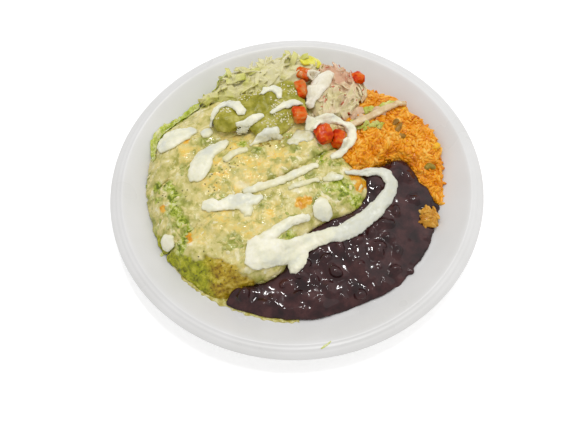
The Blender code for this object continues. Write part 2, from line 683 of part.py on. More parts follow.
# Cream, poured in strokes: each point is x, y and half the stroke's width.
cream_pours = {
    "cream_pour": (2.8, [
        [(40, -5.5, 1.4), (48, -4, 2.2), (57, -2.5, 2.8), (66, -1, 3.6), (74, -5, 4.6), (77.5, -12, 5.2),
         (74, -20, 5.0), (69, -28, 5.6), (62, -35, 6.3), (52, -43, 6.6), (42, -50, 7.0), (31, -55, 6.2),
         (20, -56.5, 5.8), (7, -60, 6.4), (-3, -66, 7.6), (-13, -70, 8.6), (-24, -71, 11.0),
         (-34, -70.5, 12.6), (-41, -69.5, 9.0)],
        [(-1.5, -68, 7.5), (-3.5, -76, 7.6), (-5.5, -81, 5.0), (-6.5, -84, 2.2)],
        [(8.5, -42, 2.0), (-1, -45, 3.2), (-10, -49, 4.0), (-20, -56, 4.6), (-30, -63, 5.0)],
    ]),
    "cream_drop": (3.0, [[(12, -38, 3.2), (16.5, -37, 7.4), (21, -35.5, 8.6), (25.5, -34, 5.6)]]),
    "cream_corner": (2.6, [
        [(-112, 33, 4.5), (-107, 36, 8.5), (-98, 40, 9.0), (-88, 44, 5.0), (-81, 45.5, 2.0)],
    ]),
    "cream_spot_back": (2.0, [[(-75, 39, 2.8), (-71, 40.5, 4.4), (-67.5, 42, 2.4)]]),
    "cream_slide": (2.6, [
        [(-54.5, 30.5, 2.2), (-62, 24, 4.6), (-71, 18, 7.0), (-76, 8, 8.2), (-79, -1, 6.6),
         (-80, -5, 4.0)],
    ]),
    "cream_streak_back": (1.5, [[(-56, 11, 1.8), (-50, 16.5, 2.6), (-43, 19.5, 2.4), (-38, 20, 1.5)]]),
    "cream_streak_long": (1.8, [
        [(-42, -18, 2.0), (-32, -16, 3.0), (-20, -13, 2.8), (-8, -9, 3.0), (5, -3, 3.0), (18, 2, 1.8)],
    ]),
    "cream_streak_low": (1.4, [[(-6, -18, 1.4), (6, -14.5, 1.9), (18, -11, 1.4)]]),
    "cream_streak_right": (1.8, [[(22, -11, 1.8), (29, -8.5, 3.0), (37, -10.5, 1.8)]]),
    "cream_middle": (2.4, [
        [(-75, -28, 3.5), (-69, -28.5, 6.2), (-61, -30, 4.2), (-52, -27, 6.6), (-42, -27, 6.4),
         (-33, -26, 4.6), (-27, -24, 2.4)],
        [(-41, -29, 6.0), (-39.5, -36, 4.6), (-39, -41, 2.4)],
    ]),
    "cream_spot_left": (2.0, [[(-107, -48, 3.0), (-103, -52, 5.0), (-101, -56.5, 2.8)]]),
    "cream_ring": (2.6, [
        [(14, 33.5, 5.4), (17, 39, 6.0), (25, 43, 3.6), (34, 43.5, 3.6), (43, 41, 4.0),
         (49, 35, 4.2), (48.5, 27, 3.6), (43, 19, 3.0), (36.5, 13, 3.2), (29.5, 8.5, 2.2)],
        [(-2, 23.5, 3.0), (4, 27, 5.4), (11, 31.5, 5.2)],
    ]),
    "cream_guacamole_arc": (2.8, [
        [(-67, 46, 2.0), (-65, 53, 3.6), (-59, 60, 4.2), (-52, 62, 4.4), (-45, 58, 4.4), (-41, 51, 4.0),
         (-41, 47.5, 2.8)],
    ]),
    "cream_guacamole_step": (2.2, [[(-46, 38.5, 2.0), (-39, 40, 2.8), (-31, 44.5, 3.4), (-23, 47.5, 1.7)]]),
    "cream_guacamole_wave": (2.2, [[(-17, 48, 1.5), (-7, 54, 3.0), (3, 57, 3.4), (10, 55.5, 2.0)]]),
    "cream_guacamole_loop": (2.6, [
        [(-24, 65, 2.0), (-20, 71, 3.4), (-14, 72.5, 3.6), (-9.5, 68.5, 3.4), (-9, 62.5, 2.0)],
    ]),
    "cream_guacamole_front": (2.0, [
        [(-36, 24, 1.5), (-28, 28, 2.5), (-20, 31, 3.5), (-13, 32, 3.4), (-9, 29, 1.8)],
    ]),
    "sour_cream": (4.0, [
        [(36, 88, 4.0), (31, 84, 7.0), (26, 77, 8.5), (21.5, 69, 7.0), (18, 62, 5.2), (15, 56, 3.0)],
    ]),
    "sour_cream_spot": (2.8, [[(16, 91, 2.6), (20.5, 90, 4.4), (26, 90, 3.0)]]),
}
for cream_name, (thickness, strokes) in cream_pours.items():
    served.append(cream(cream_name, CREAM, strokes, thickness, served))


def frame_of(core):
    """The four corners of the box round a piece, in plan."""
    (low_x, low_y, _), (high_x, high_y, _) = [[part / MM for part in corner] for corner in box(core)]
    return [(low_x, low_y), (high_x, low_y), (high_x, high_y), (low_x, high_y)]


def grains_on(core, material, size, sides, spacing, sink, seed):
    """Grains or beans that stand out of a core wherever it shows."""
    draw = random.Random(seed)
    own = Ground([core])
    others = Ground([piece for piece in served if piece is not core])
    bits = []
    for number, (x, y) in enumerate(scattered(frame_of(core), spacing, seed)):
        angle = draw.uniform(0.0, math.pi)
        tilt = draw.uniform(-0.25, 0.25)
        if bare_spot(x, y, 0.55 * size[0], own, others):
            level = own.height(x, y) + (0.5 - sink) * size[2]
            name = f"{core.name}_bit_{number}"
            bits.append(spindle(name, material, (x, y, level), angle, tilt, size, sides))
    return bits


def shreds_on(core, material, size, spacing, lengths, seed):
    """Shreds that arch out of a heap wherever it shows, none across another."""
    draw = random.Random(seed)
    own = Ground([core])
    others = Ground([piece for piece in served if piece is not core])
    taken = []
    bits = []
    for number, (x, y) in enumerate(scattered(frame_of(core), spacing, seed)):
        for _ in range(TURNS_TRIED):
            angle = draw.uniform(0.0, math.pi)
            path = shred_path(x, y, angle, draw.uniform(*lengths), own)
            alone = all(math.dist(a[:2], b[:2]) > 1.3 * size[0] for a in path for b in taken)
            if alone and all(bare_spot(px, py, 0.7 * size[0], own, others) for px, py, _ in path):
                bits.append(strip(f"{core.name}_bit_{number}", material, path, *size))
                taken += path
                break
    return bits


fuse(rice, grains_on(rice, RICE, RICE_GRAIN, 4, 12.0, 0.3, 21))
fuse(beans, grains_on(beans, BEANS, BLACK_BEAN, 6, 21.0, 0.45, 22))
fuse(lettuce, shreds_on(lettuce, LETTUCE, LETTUCE_SHRED, 9.0, (13.0, 24.0), 53))
fuse(salad, shreds_on(salad, CABBAGE, CABBAGE_SHRED, 8.0, (10.0, 18.0), 44))
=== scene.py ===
import math
import random

import bpy
import numpy as np
from mathutils import Matrix, Vector, noise
from mathutils.bvhtree import BVHTree


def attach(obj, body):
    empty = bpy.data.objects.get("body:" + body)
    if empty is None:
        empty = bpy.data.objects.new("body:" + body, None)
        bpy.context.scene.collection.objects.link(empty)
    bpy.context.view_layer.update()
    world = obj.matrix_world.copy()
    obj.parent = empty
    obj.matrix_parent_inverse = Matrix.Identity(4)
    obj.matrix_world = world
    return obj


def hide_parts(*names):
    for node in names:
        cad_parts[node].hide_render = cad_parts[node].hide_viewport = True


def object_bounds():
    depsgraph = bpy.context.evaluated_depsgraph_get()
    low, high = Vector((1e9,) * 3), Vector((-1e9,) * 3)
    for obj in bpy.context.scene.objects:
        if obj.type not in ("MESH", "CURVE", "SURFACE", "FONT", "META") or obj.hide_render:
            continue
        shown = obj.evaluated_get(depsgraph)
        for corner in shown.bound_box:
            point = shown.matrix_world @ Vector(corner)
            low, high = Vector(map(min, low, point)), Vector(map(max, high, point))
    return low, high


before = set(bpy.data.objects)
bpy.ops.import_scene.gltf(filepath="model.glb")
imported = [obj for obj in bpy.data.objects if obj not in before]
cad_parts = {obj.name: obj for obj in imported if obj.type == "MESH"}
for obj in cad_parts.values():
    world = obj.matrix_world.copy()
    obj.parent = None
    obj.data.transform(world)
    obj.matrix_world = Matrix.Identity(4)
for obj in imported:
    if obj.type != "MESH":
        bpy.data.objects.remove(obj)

MM = 0.001
cad_low, cad_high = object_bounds()

# The view of someone who stands at the table with the beans in front of them, and looks down
# on the plate with the head leaning a little to one side.
aim = Vector((-4.2, -38.6, 21.0)) * MM
distance = 520.0 * MM
elevation = 61.28
lean = -3.57
look = Matrix.Rotation(math.radians(90.0 - elevation), 3, "X") @ Matrix.Rotation(math.radians(lean), 3, "Z")
bpy.ops.object.camera_add(location=aim + look @ Vector((0.0, 0.0, distance)), rotation=look.to_euler())
camera = bpy.context.object
camera.name = "camera"
camera.data.lens = 40.234
camera.data.sensor_width = 36.0
bpy.context.scene.camera = camera
bpy.context.scene.view_settings.view_transform = "Standard"

# The table is a wide sheet of white acrylic, lit a little from below. Daylight fills the room
# evenly, a broad soft lamp stands at the right, and three small lamps overhead make the crisp
# glints on what is wet.


def colour(code):
    """An sRGB hex colour as the linear colour that shaders use."""
    parts = [int(code[i:i + 2], 16) / 255.0 for i in (1, 3, 5)]
    return (*[p / 12.92 if p <= 0.04045 else ((p + 0.055) / 1.055) ** 2.4 for p in parts], 1.0)


def feed(material, target, inputs):
    """Set a shader node's inputs to values, or link them to sockets or to other nodes' first outputs."""
    for key, value in inputs.items():
        socket = next(s for s in target.inputs if key in (s.identifier, s.name))
        if isinstance(value, bpy.types.Node):
            value = next(s for s in value.outputs if s.enabled)
        if isinstance(value, bpy.types.NodeSocket):
            material.node_tree.links.new(value, socket)
        else:
            socket.default_value = value


def node(material, kind, settings=None, inputs=None, stops=()):
    """Add a shader node with its settings, its inputs and, for a ramp, its stops."""
    made = material.node_tree.nodes.new("ShaderNode" + kind)
    for name, value in (settings or {}).items():
        setattr(made, name, value)
    if stops:
        ramp = made.color_ramp.elements
        while len(ramp) > 1:
            ramp.remove(ramp[-1])
        ramp[0].position, ramp[0].color = stops[0][0], colour(stops[0][1])
        for place, code in stops[1:]:
            ramp.new(place).color = colour(code)
    feed(material, made, inputs or {})
    return made


def finish_of(name):
    """A new material, with its shader and the position on the piece that its patterns follow."""
    material = bpy.data.materials.new(name)
    material.use_nodes = True
    where = node(material, "TexCoord").outputs["Object"]
    return material, material.node_tree.nodes["Principled BSDF"], where


# Matte white, and so bright that the plate leaves hardly any shadow on it.
bpy.ops.object.select_all(action="DESELECT")
bpy.ops.mesh.primitive_circle_add(vertices=96, radius=2.5, fill_type="NGON", location=(0.0, 0.0, -0.2 * MM))
table = bpy.context.object
table.name = "table_top"
table_white, shader, where = finish_of("white_backlit_acrylic")
feed(table_white, shader, {
    "Base Color": colour("#FDFDFD"), "Roughness": 0.7, "Emission Color": colour("#FFFFFF"),
    "Emission Strength": 0.25})
table.data.materials.append(table_white)

world = bpy.data.worlds.new("daylight")
world.use_nodes = True
world.node_tree.nodes["Background"].inputs["Color"].default_value = (1.0, 1.0, 1.0, 1.0)
world.node_tree.nodes["Background"].inputs["Strength"].default_value = 0.72
bpy.context.scene.world = world
middle_of_food = Vector((0.0, 0.0, 0.02))
for lamp_name, place, width, watts in (
    ("broad_lamp", (0.75, 0.35, 0.95), 1.3, 1.9),
    ("left_lamp", (-0.1, 0.37, 1.25), 0.08, 1.7),
    ("right_lamp", (0.24, 0.5, 1.25), 0.08, 1.8),
    ("near_lamp", (0.12, 0.05, 1.3), 0.08, 1.5),
):
    lamp_place = Vector(place)
    turn = (lamp_place - middle_of_food).to_track_quat("Z", "Y").to_euler()
    bpy.ops.object.light_add(type="AREA", location=lamp_place, rotation=turn)
    lamp = bpy.context.object
    lamp.name = lamp_name
    lamp.data.shape = "DISK"
    lamp.data.size = width
    lamp.data.energy = watts

# The dinner plate is thrown stoneware, fired with a white glaze. It has a flat well, a cove, a
# sloping rim with two raised rings near its edge, and a foot ring underneath.
plate_profile = (
    (0.0, 7.0, 0.0), (108.0, 7.0, 9.0), (121.0, 11.2, 9.0), (128.0, 15.8, 5.0), (139.6, 23.7, 1.6),
    (142.2, 25.0, 1.4), (144.0, 24.3, 1.0), (146.0, 24.3, 1.0), (147.4, 23.5, 1.0), (149.4, 23.2, 1.0),
    (152.0, 21.9, 1.0), (152.5, 20.6, 0.8), (151.2, 18.3, 1.4), (134.0, 11.0, 6.0), (118.0, 4.2, 6.0),
    (97.0, 3.0, 1.0), (96.0, 0.2, 0.6), (95.0, 0.0, 0.4), (91.0, 0.0, 0.4), (90.0, 0.2, 0.6),
    (88.5, 2.4, 1.0), (0.0, 2.4, 0.0),
)


def pick(*pieces):
    """Select some pieces and nothing else, with the first of them active."""
    bpy.ops.object.select_all(action="DESELECT")
    for piece in pieces:
        piece.select_set(True)
    bpy.context.view_layer.objects.active = pieces[0]


def rounded(profile, steps=6):
    """Radius and level along a turned profile, each corner turned into a curve of its own size."""
    line = [profile[0][:2]]
    for before, corner, after in zip(profile, profile[1:], profile[2:]):
        here = Vector(corner[:2])
        back, ahead = Vector(before[:2]) - here, Vector(after[:2]) - here
        start = here + back.normalized() * min(corner[2], 0.48 * back.length)
        end = here + ahead.normalized() * min(corner[2], 0.48 * ahead.length)
        for i in range(steps + 1):
            t = i / steps
            line.append(tuple((1 - t) ** 2 * start + 2 * t * (1 - t) * here + t * t * end))
    line.append(profile[-1][:2])
    return line


plate_line = rounded(plate_profile)
plate_mesh = bpy.data.meshes.new("dinner_plate")
plate_mesh.from_pydata(
    [(radius * MM, 0.0, level * MM) for radius, level in plate_line],
    [(i, i + 1) for i in range(len(plate_line) - 1)], [],
)
dinner_plate = bpy.data.objects.new("dinner_plate", plate_mesh)
bpy.context.collection.objects.link(dinner_plate)
pick(dinner_plate)
bpy.ops.object.mode_set(mode="EDIT")
bpy.ops.mesh.select_all(action="SELECT")
bpy.ops.mesh.spin(steps=176, angle=math.tau, center=(0.0, 0.0, 0.0), axis=(0.0, 0.0, 1.0))
bpy.ops.mesh.select_all(action="SELECT")
bpy.ops.mesh.remove_doubles(threshold=0.01 * MM)
bpy.ops.mesh.normals_make_consistent(inside=False)
bpy.ops.object.mode_set(mode="OBJECT")
bpy.ops.object.shade_smooth()

# Stoneware under a thick clear glaze: white with a breath of grey, its gloss a little uneven.
white_glaze, shader, where = finish_of("white_glazed_stoneware")
feed(white_glaze, shader, {"IOR": 1.5})
pooling = node(white_glaze, "TexNoise", inputs={"Vector": where, "Scale": 1 / (30.0 * MM), "Detail": 2.0})
tint = node(white_glaze, "ValToRGB", stops=((0.3, "#D9D8D6"), (0.7, "#DEDDDC")), inputs={"Fac": pooling})
gloss = node(white_glaze, "MapRange", inputs={"Value": pooling, "To Min": 0.26, "To Max": 0.3})
ripple = node(white_glaze, "Bump", inputs={"Height": pooling, "Strength": 0.02, "Distance": 0.3 * MM})
feed(white_glaze, shader, {"Base Color": tint, "Roughness": gloss, "Normal": ripple})
dinner_plate.data.materials.append(white_glaze)
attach(dinner_plate, "root")
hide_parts("plate")

# Three enchiladas: corn tortillas rolled round a filling, soaked in green sauce and baked under
# one blanket of pale cheese, which leaves shallow furrows between the rolls. In front of the
# blanket the sauce has soaked the tortilla until it is soft, mossy green and amber.


def skin_of(node_name, name, cell, rounds, swell):
    """A finely meshed copy of a node's solid, its facets softened, grown by swell millimetres."""
    piece = bpy.data.objects.new(name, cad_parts[node_name].data.copy())
    piece.data.name = name
    piece.data.materials.clear()
    bpy.context.collection.objects.link(piece)
    pick(piece)
    bpy.ops.object.mode_set(mode="EDIT")
    bpy.ops.mesh.select_all(action="SELECT")
    bpy.ops.mesh.remove_doubles(threshold=0.001 * MM)
    bpy.ops.object.mode_set(mode="OBJECT")
    soften(piece, cell, rounds, swell)
    return piece


def soften(piece, cell, rounds, swell):
    """Wrap a piece in one skin of small even cells, smooth it and grow it."""
    skin = piece.modifiers.new("Skin", "REMESH")
    skin.mode = "VOXEL"
    skin.voxel_size = cell * MM
    skin.use_smooth_shade = True
    smooth = piece.modifiers.new("Smooth", "SMOOTH")
    smooth.factor = 0.5
    smooth.iterations = rounds
    if swell:
        grow = piece.modifiers.new("Grow", "DISPLACE")
        grow.strength = swell * MM
        grow.mid_level = 0.0
    bpy.context.view_layer.objects.active = piece
    for modifier in list(piece.modifiers):
        bpy.ops.object.modifier_apply(modifier=modifier.name)


def lumps(place, size, seed):
    """Smooth noise between about -1 and 1, its lumps about size millimetres wide."""
    return noise.noise(Vector(place) / size + Vector((7.3, -3.1, 1.7)) * seed)


def relief(piece, height):
    """Move each point of a piece along its normal by height(place), in millimetres."""
    points = [vert.co / MM for vert in piece.data.vertices]
    moved = [
        (point + vert.normal * height(point)) * MM
        for point, vert in zip(points, piece.data.vertices)
    ]
    piece.data.vertices.foreach_set("co", np.array(moved).ravel())
    piece.data.update()


def paint(piece, name, value):
    """Store value(place) at each point of a piece, for its material to read."""
    shades = [value(vert.co / MM) for vert in piece.data.vertices]
    shade = piece.data.attributes.get(name) or piece.data.attributes.new(name, "FLOAT", "POINT")
    shade.data.foreach_set("value", shades)


def from_line(place, line):
    """How far a place lies to the left of a line through points, in plan; negative on its right."""
    best = math.inf
    side = 1.0
    for (ax, ay), (bx, by) in zip(line, line[1:]):
        dx, dy = bx - ax, by - ay
        share = ((place[0] - ax) * dx + (place[1] - ay) * dy) / (dx * dx + dy * dy)
        share = min(1.0, max(0.0, share))
        gap = math.hypot(place[0] - ax - share * dx, place[1] - ay - share * dy)
        if gap < best:
            best = gap
            side = 1.0 if dx * (place[1] - ay) - dy * (place[0] - ax) > 0.0 else -1.0
    return best * side


def smooth_step(low, high, value):
    """0 up to low, 1 from high on, and a smooth rise between them."""
    share = min(1.0, max(0.0, (value - low) / (high - low)))
    return share * share * (3.0 - 2.0 * share)


def near(place, spots):
    """1 at the middle of the nearest of some round spots (x, y, reach), falling to 0 well past it."""
    shares = (1.0 - math.hypot(place[0] - x, place[1] - y) / (1.6 * reach) for x, y, reach in spots)
    return max(0.0, *shares)


cheese_front = [
    (-116, -40), (-106, -50), (-99, -60), (-90, -66), (-80, -68), (-70, -69), (-60, -73), (-50, -79),
    (-34, -90),
]
lime_streak = [(-104, -4), (-97, -17), (-99, -27), (-91, -38), (-87, -47), (-91, -57), (-97, -66)]
lime_spots = [
    (40, -22, 9), (33, -13, 8), (46, -28, 8), (26, -20, 6), (-18, -64, 7), (-8, -57, 6), (22, 8, 5),
    (-42, 27, 4), (-114, -1, 4), (-112, -13, 4),
]
orange_spots = [
    (-89, 36, 3.5), (3, -31, 5), (8, -29, 4), (-86, -50, 2.5), (-85, -55, 2.5), (-107, -24, 3), (48, -6, 6),
    (53, -12, 5), (50, -17, 4),
]
yellow_spots = [
    (-45, 25, 16), (-60, -5, 13), (-30, 0, 14), (-62, -38, 10), (-42, -52, 12), (5, 28, 9), (-88, 22, 9),
    (-20, -38, 8), (-76, -50, 8), (-12, 12, 11), (-38, 12, 12), (-64, 12, 8), (-50, -15, 8),
]
sauce_spots = [
    (-95, -30, 14), (-104, -5, 9), (-72, 32, 7), (-30, 20, 6), (24, 15, 13), (38, 5, 9), (22, -25, 14),
    (35, -15, 8), (-8, -40, 9), (-10, -5, 8), (-85, 10, 7), (-60, -22, 6), (-98, -48, 12), (-48, -62, 8),
    (0, 12, 7), (10, -10, 9), (-28, -30, 6), (-20, 40, 10), (-5, 38, 9),
]


def bare_tortilla(place):
    """1 where the soaked tortilla lies bare in front of the cheese, and 0 under the cheese."""
    edge = from_line(place, cheese_front) + 3.0 * lumps(place, 7.0, 3) + 1.5 * lumps(place, 3.0, 11)
    return 1.0 - smooth_step(-1.2, 1.2, edge)


def lime_green(place):
    """1 where bright green chile and sauce show: along the left ends of the rolls and in some spots."""
    uneven = 3.0 * lumps(place, 5.0, 5) + 1.8 * lumps(place, 2.4, 12)
    streak = 1.0 - smooth_step(2.6, 5.6, abs(from_line(place, lime_streak)) + uneven)
    spot = smooth_step(0.25, 0.7, near(place, lime_spots) + 0.12 * uneven)
    return max(streak, spot)


def green_sauce(place):
    """How much green sauce shows through the cheese."""
    low = 1.0 - smooth_step(13.0, 24.0, place[2] + 2.5 * lumps(place, 7.0, 6))
    return min(1.0, max(0.0, 1.25 * near(place, sauce_spots) + 0.7 * low + 0.45 * lumps(place, 9.0, 7)))


def yellow_cheese(place):
    """How much of the yellow cheese lies here."""
    return min(1.0, max(0.0, 1.2 * near(place, yellow_spots) + 0.4 * lumps(place, 6.0, 8)))


def orange_stain(place):
    """1 where orange oil and bits of pepper have stained the cheese."""
    return smooth_step(0.3, 0.5, near(place, orange_spots) + 0.25 * lumps(place, 3.0, 14))


def amber_sauce(place):
    """How far the soaked tortilla has gone from mossy green to amber, towards the beans."""
    return smooth_step(-78.0, -62.0, place[0] + 6.0 * lumps(place, 6.0, 13))


# The noise vectors that warp the clots follow a seed, so that each run melts them the same way.
noise.seed_set(7)


def curd(place):
    """Height of the melted cheese: clots with smaller clots on them."""
    bare = bare_tortilla(place)
    warped = Vector(place) / 6.5 + 0.4 * noise.noise_vector(Vector(place) / 5.0)
    clot = 0.55 - noise.voronoi(warped)[0][0]
    broad = 0.8 * lumps(place, 12.0, 1) + 0.6 * lumps(place, 5.5, 2)
    cheese = broad + 1.1 * clot + 0.3 * lumps(place, 2.8, 4)
    moss = 0.7 * lumps(place, 4.0, 9) + 0.6 * lumps(place, 2.1, 10)
    return cheese * (1.0 - bare) + (moss - 0.9) * bare - 0.5 * lime_green(place)


# Pale and yellow cheese has melted in clots over pools of green sauce, with fibres of lime green
# chile and orange oil in it. Its wet skin is glossy over the pools and duller between them.
baked_cheese, shader, where = finish_of("melted_cheese_over_green_sauce")
bare, lime, amber, sauce, warm, orange = (
    node(baked_cheese, "Attribute", {"attribute_name": name}).outputs["Fac"]
    for name in ("bare", "lime", "amber", "sauce", "warm", "orange"))
clots = node(baked_cheese, "TexNoise", inputs={
    "Vector": where, "Scale": 1 / (8.5 * MM), "Detail": 3.0, "Roughness": 0.58, "Distortion": 0.5})
shreds = node(baked_cheese, "TexNoise", inputs={
    "Vector": where, "Scale": 1 / (3.8 * MM), "Detail": 2.0, "Distortion": 1.8})
fibres = node(baked_cheese, "TexNoise", inputs={
    "Vector": where, "Scale": 1 / (5.0 * MM), "Detail": 4.0, "Roughness": 0.68, "Distortion": 0.3})
pools = node(baked_cheese, "TexNoise", inputs={
    "Vector": where, "Scale": 1 / (9.0 * MM), "Detail": 3.0, "Roughness": 0.6, "Distortion": 0.8})
warped = node(baked_cheese, "VectorMath", {"operation": "MULTIPLY_ADD"}, {
    "Vector": shreds.outputs["Color"], "Vector_001": (0.005, 0.005, 0.005), "Vector_002": where})
pieces = node(baked_cheese, "TexVoronoi", inputs={"Vector": warped, "Scale": 1 / (6.0 * MM)})
piece_shade = node(baked_cheese, "SeparateColor", inputs={"Color": pieces.outputs["Color"]})
blend = node(baked_cheese, "Math", {"operation": "MULTIPLY_ADD"}, {
    "Value": piece_shade, "Value_001": 0.22, "Value_002": clots})
pale, yellow, greens, limes, oils, moss, ochre = (
    node(baked_cheese, "ValToRGB", inputs={"Fac": pattern}, stops=stops)
    for pattern, stops in (
        (blend, ((0.42, "#A6A04C"), (0.5, "#BFB66A"), (0.58, "#CEC27C"), (0.66, "#D8CB88"),
                 (0.74, "#E1D69E"), (0.82, "#EBE3C0"))),
        (shreds, ((0.36, "#DDCB7E"), (0.46, "#E6CC6E"), (0.56, "#E9C65E"), (0.66, "#E6B64C"))),
        (clots, ((0.36, "#7C822A"), (0.46, "#969A3E"), (0.55, "#AAAC54"), (0.66, "#BFBE78"))),
        (fibres, ((0.41, "#66740E"), (0.47, "#94A228"), (0.53, "#B6BC4C"), (0.61, "#D6D79A"))),
        (fibres, ((0.42, "#CC8608"), (0.5, "#DC9A14"), (0.6, "#E6B444"))),
        (fibres, ((0.36, "#6C6A08"), (0.44, "#84860E"), (0.52, "#9C9E12"), (0.6, "#B0AE28"),
                  (0.7, "#C4BC54"))),
        (fibres, ((0.36, "#7A5A0A"), (0.45, "#A08214"), (0.54, "#B59A24"), (0.64, "#CDB558"))),
    ))
yellow_share = node(baked_cheese, "MapRange", inputs={"Value": clots, "From Min": 0.4, "From Max": 0.56})
yellow_share = node(baked_cheese, "Math", {"operation": "MULTIPLY"}, {
    "Value": yellow_share, "Value_001": warm})
green_share = node(baked_cheese, "MapRange", inputs={"Value": pools, "From Min": 0.54, "From Max": 0.47})
green_share = node(baked_cheese, "Math", {"operation": "MULTIPLY", "use_clamp": True}, {
    "Value": green_share, "Value_001": sauce})
soaked = node(baked_cheese, "Mix", {"data_type": "RGBA"}, {
    "Factor_Float": amber, "A_Color": moss, "B_Color": ochre})
surface = pale
for share, over in (
    (yellow_share, yellow), (green_share, greens), (lime, limes), (orange, oils), (bare, soaked),
):
    surface = node(baked_cheese, "Mix", {"data_type": "RGBA"}, {
        "Factor_Float": share, "A_Color": surface, "B_Color": over})
wet = node(baked_cheese, "MapRange", inputs={
    "Value": pools, "From Min": 0.35, "From Max": 0.65, "To Min": 0.08, "To Max": 0.3})
fine = node(baked_cheese, "TexNoise", inputs={"Vector": where, "Scale": 1 / (2.2 * MM), "Detail": 2.0})
grain = node(baked_cheese, "Bump", inputs={"Height": fine, "Strength": 0.25, "Distance": 0.8 * MM})
feed(baked_cheese, shader, {
    "Base Color": surface, "Roughness": wet, "Normal": grain, "IOR": 1.42, "Subsurface Weight": 0.1,
    "Subsurface Scale": 1.5 * MM, "Subsurface Radius": (1.0, 0.9, 0.5)})

rolls = []
for side in ("middle", "front", "back"):
    roll = skin_of(f"enchilada_{side}", f"cheese_roll_{side}", 0.9, 12, 0.7)
    relief(roll, curd)
    for name, share in (
        ("bare", bare_tortilla), ("lime", lime_green), ("sauce", green_sauce), ("warm", yellow_cheese),
        ("orange", orange_stain), ("amber", amber_sauce),
    ):
        paint(roll, name, share)
    roll.data.materials.append(baked_cheese)
    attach(roll, "root")
    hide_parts(f"enchilada_{side}")
    rolls.append(roll)

# Tomato rice: long grains boiled in tomato broth until they are orange, heaped along the right
# side, and one spoonful of it dropped on the beans. Peas, corn and bits of pepper are in it.
GRAIN = (7.6, 3.1, 2.8)
UP = Vector((0.0, 0.0, 1.0))
# Nothing small is strewn lower than this, because there the food meets the plate.
LOWEST = 8.5


def surface_of(pieces):
    """The surfaces of some pieces together, ready to be probed."""
    points, faces = [], []
    for piece in pieces:
        start = len(points)
        points += [vert.co.copy() for vert in piece.data.vertices]
        faces += [[start + i for i in polygon.vertices] for polygon in piece.data.polygons]
    return BVHTree.FromPolygons(points, faces)


def away_from(names, gap):
    """A test for places that lie more than gap millimetres from the nodes whose names hold a word."""
    others = [name for name in sorted(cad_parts) if any(word in name for word in names)]
    surface = surface_of([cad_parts[name] for name in others])
    return lambda place: surface.find_nearest(Vector(place) * MM)[3] > gap * MM


def spots_on(carrier, count, apart, seed, keep):
    """Random places on the upper side of a piece, at least apart millimetres from each other."""
    mesh = carrier.data
    mesh.calc_loop_triangles()
    corners = np.array([vert.co for vert in mesh.vertices]) / MM
    triangles = corners[np.array([triangle.vertices for triangle in mesh.loop_triangles])]
    normals = np.cross(triangles[:, 1] - triangles[:, 0], triangles[:, 2] - triangles[:, 0])
    sizes = np.linalg.norm(normals, axis=1)
    facing_up = normals[:, 2] > -0.05 * sizes
    weights = sizes * facing_up * (triangles[:, :, 2].min(axis=1) > LOWEST)
    draw = np.random.default_rng(seed)
    picked = draw.choice(len(triangles), size=5 * count, p=weights / weights.sum())
    spots = []
    cells = {}
    for number in picked:
        u, v = sorted(draw.random(2))
        a, b, c = triangles[number]
        place = a * u + b * (v - u) + c * (1.0 - v)
        i, j, k = (int(part // apart) for part in place)
        around = [
            other for di in (-1, 0, 1) for dj in (-1, 0, 1) for dk in (-1, 0, 1)
            for other in cells.get((i + di, j + dj, k + dk), ())
        ]
        if all(np.linalg.norm(place - other) > apart for other in around) and keep(place):
            cells.setdefault((i, j, k), []).append(place)
            spots.append((Vector(place), Vector(normals[number] / sizes[number])))
            if len(spots) == count:
                break
    return spots


def lying(place, normal, angle, tilt, size):
    """Where a small piece lies: its length along angle, tilted out of the surface, at a size."""
    side = normal.cross(Vector((math.cos(angle), math.sin(angle), 0.0))).normalized()
    along = side.cross(normal)
    along = (along * math.cos(tilt) + normal * math.sin(tilt)).normalized()
    turn = Matrix((along, side, along.cross(side))).transposed()
    return Matrix.Translation(place * MM) @ turn.to_4x4() @ Matrix.Diagonal((*size, 1.0))


def strew(name, shape, places, seed):
    """One mesh of many copies of a small shape, with a tone of its own for each."""
    base = np.array([(*vert.co, 1.0) for vert in shape.data.vertices])
    faces = np.array([polygon.vertices for polygon in shape.data.polygons])
    points = np.concatenate([(base @ np.array(place).T)[:, :3] for place in places])
    all_faces = np.concatenate([faces + len(base) * i for i in range(len(places))])
    mesh = bpy.data.meshes.new(name)
    mesh.from_pydata(points.tolist(), [], all_faces.tolist())
    mesh.shade_smooth()
    tones = np.repeat(np.random.default_rng(seed).random(len(places)), len(base))
    mesh.attributes.new("tone", "FLOAT", "POINT").data.foreach_set("value", tones)
    piece = bpy.data.objects.new(name, mesh)
    bpy.context.collection.objects.link(piece)
    return piece


def pebble(name, detail, bend, roughen, seed):
    """A small rounded shape one millimetre across, bent along its length and a little uneven."""
    bpy.ops.object.select_all(action="DESELECT")
    bpy.ops.mesh.primitive_ico_sphere_add(subdivisions=detail, radius=0.5)
    shape = bpy.context.object
    shape.name = name
    for vert in shape.data.vertices:
        vert.co *= 1.0 + roughen * lumps(vert.co, 0.35, seed)
        vert.co.z += bend * (vert.co.x ** 2 - 0.1)
        vert.co *= MM
    return shape


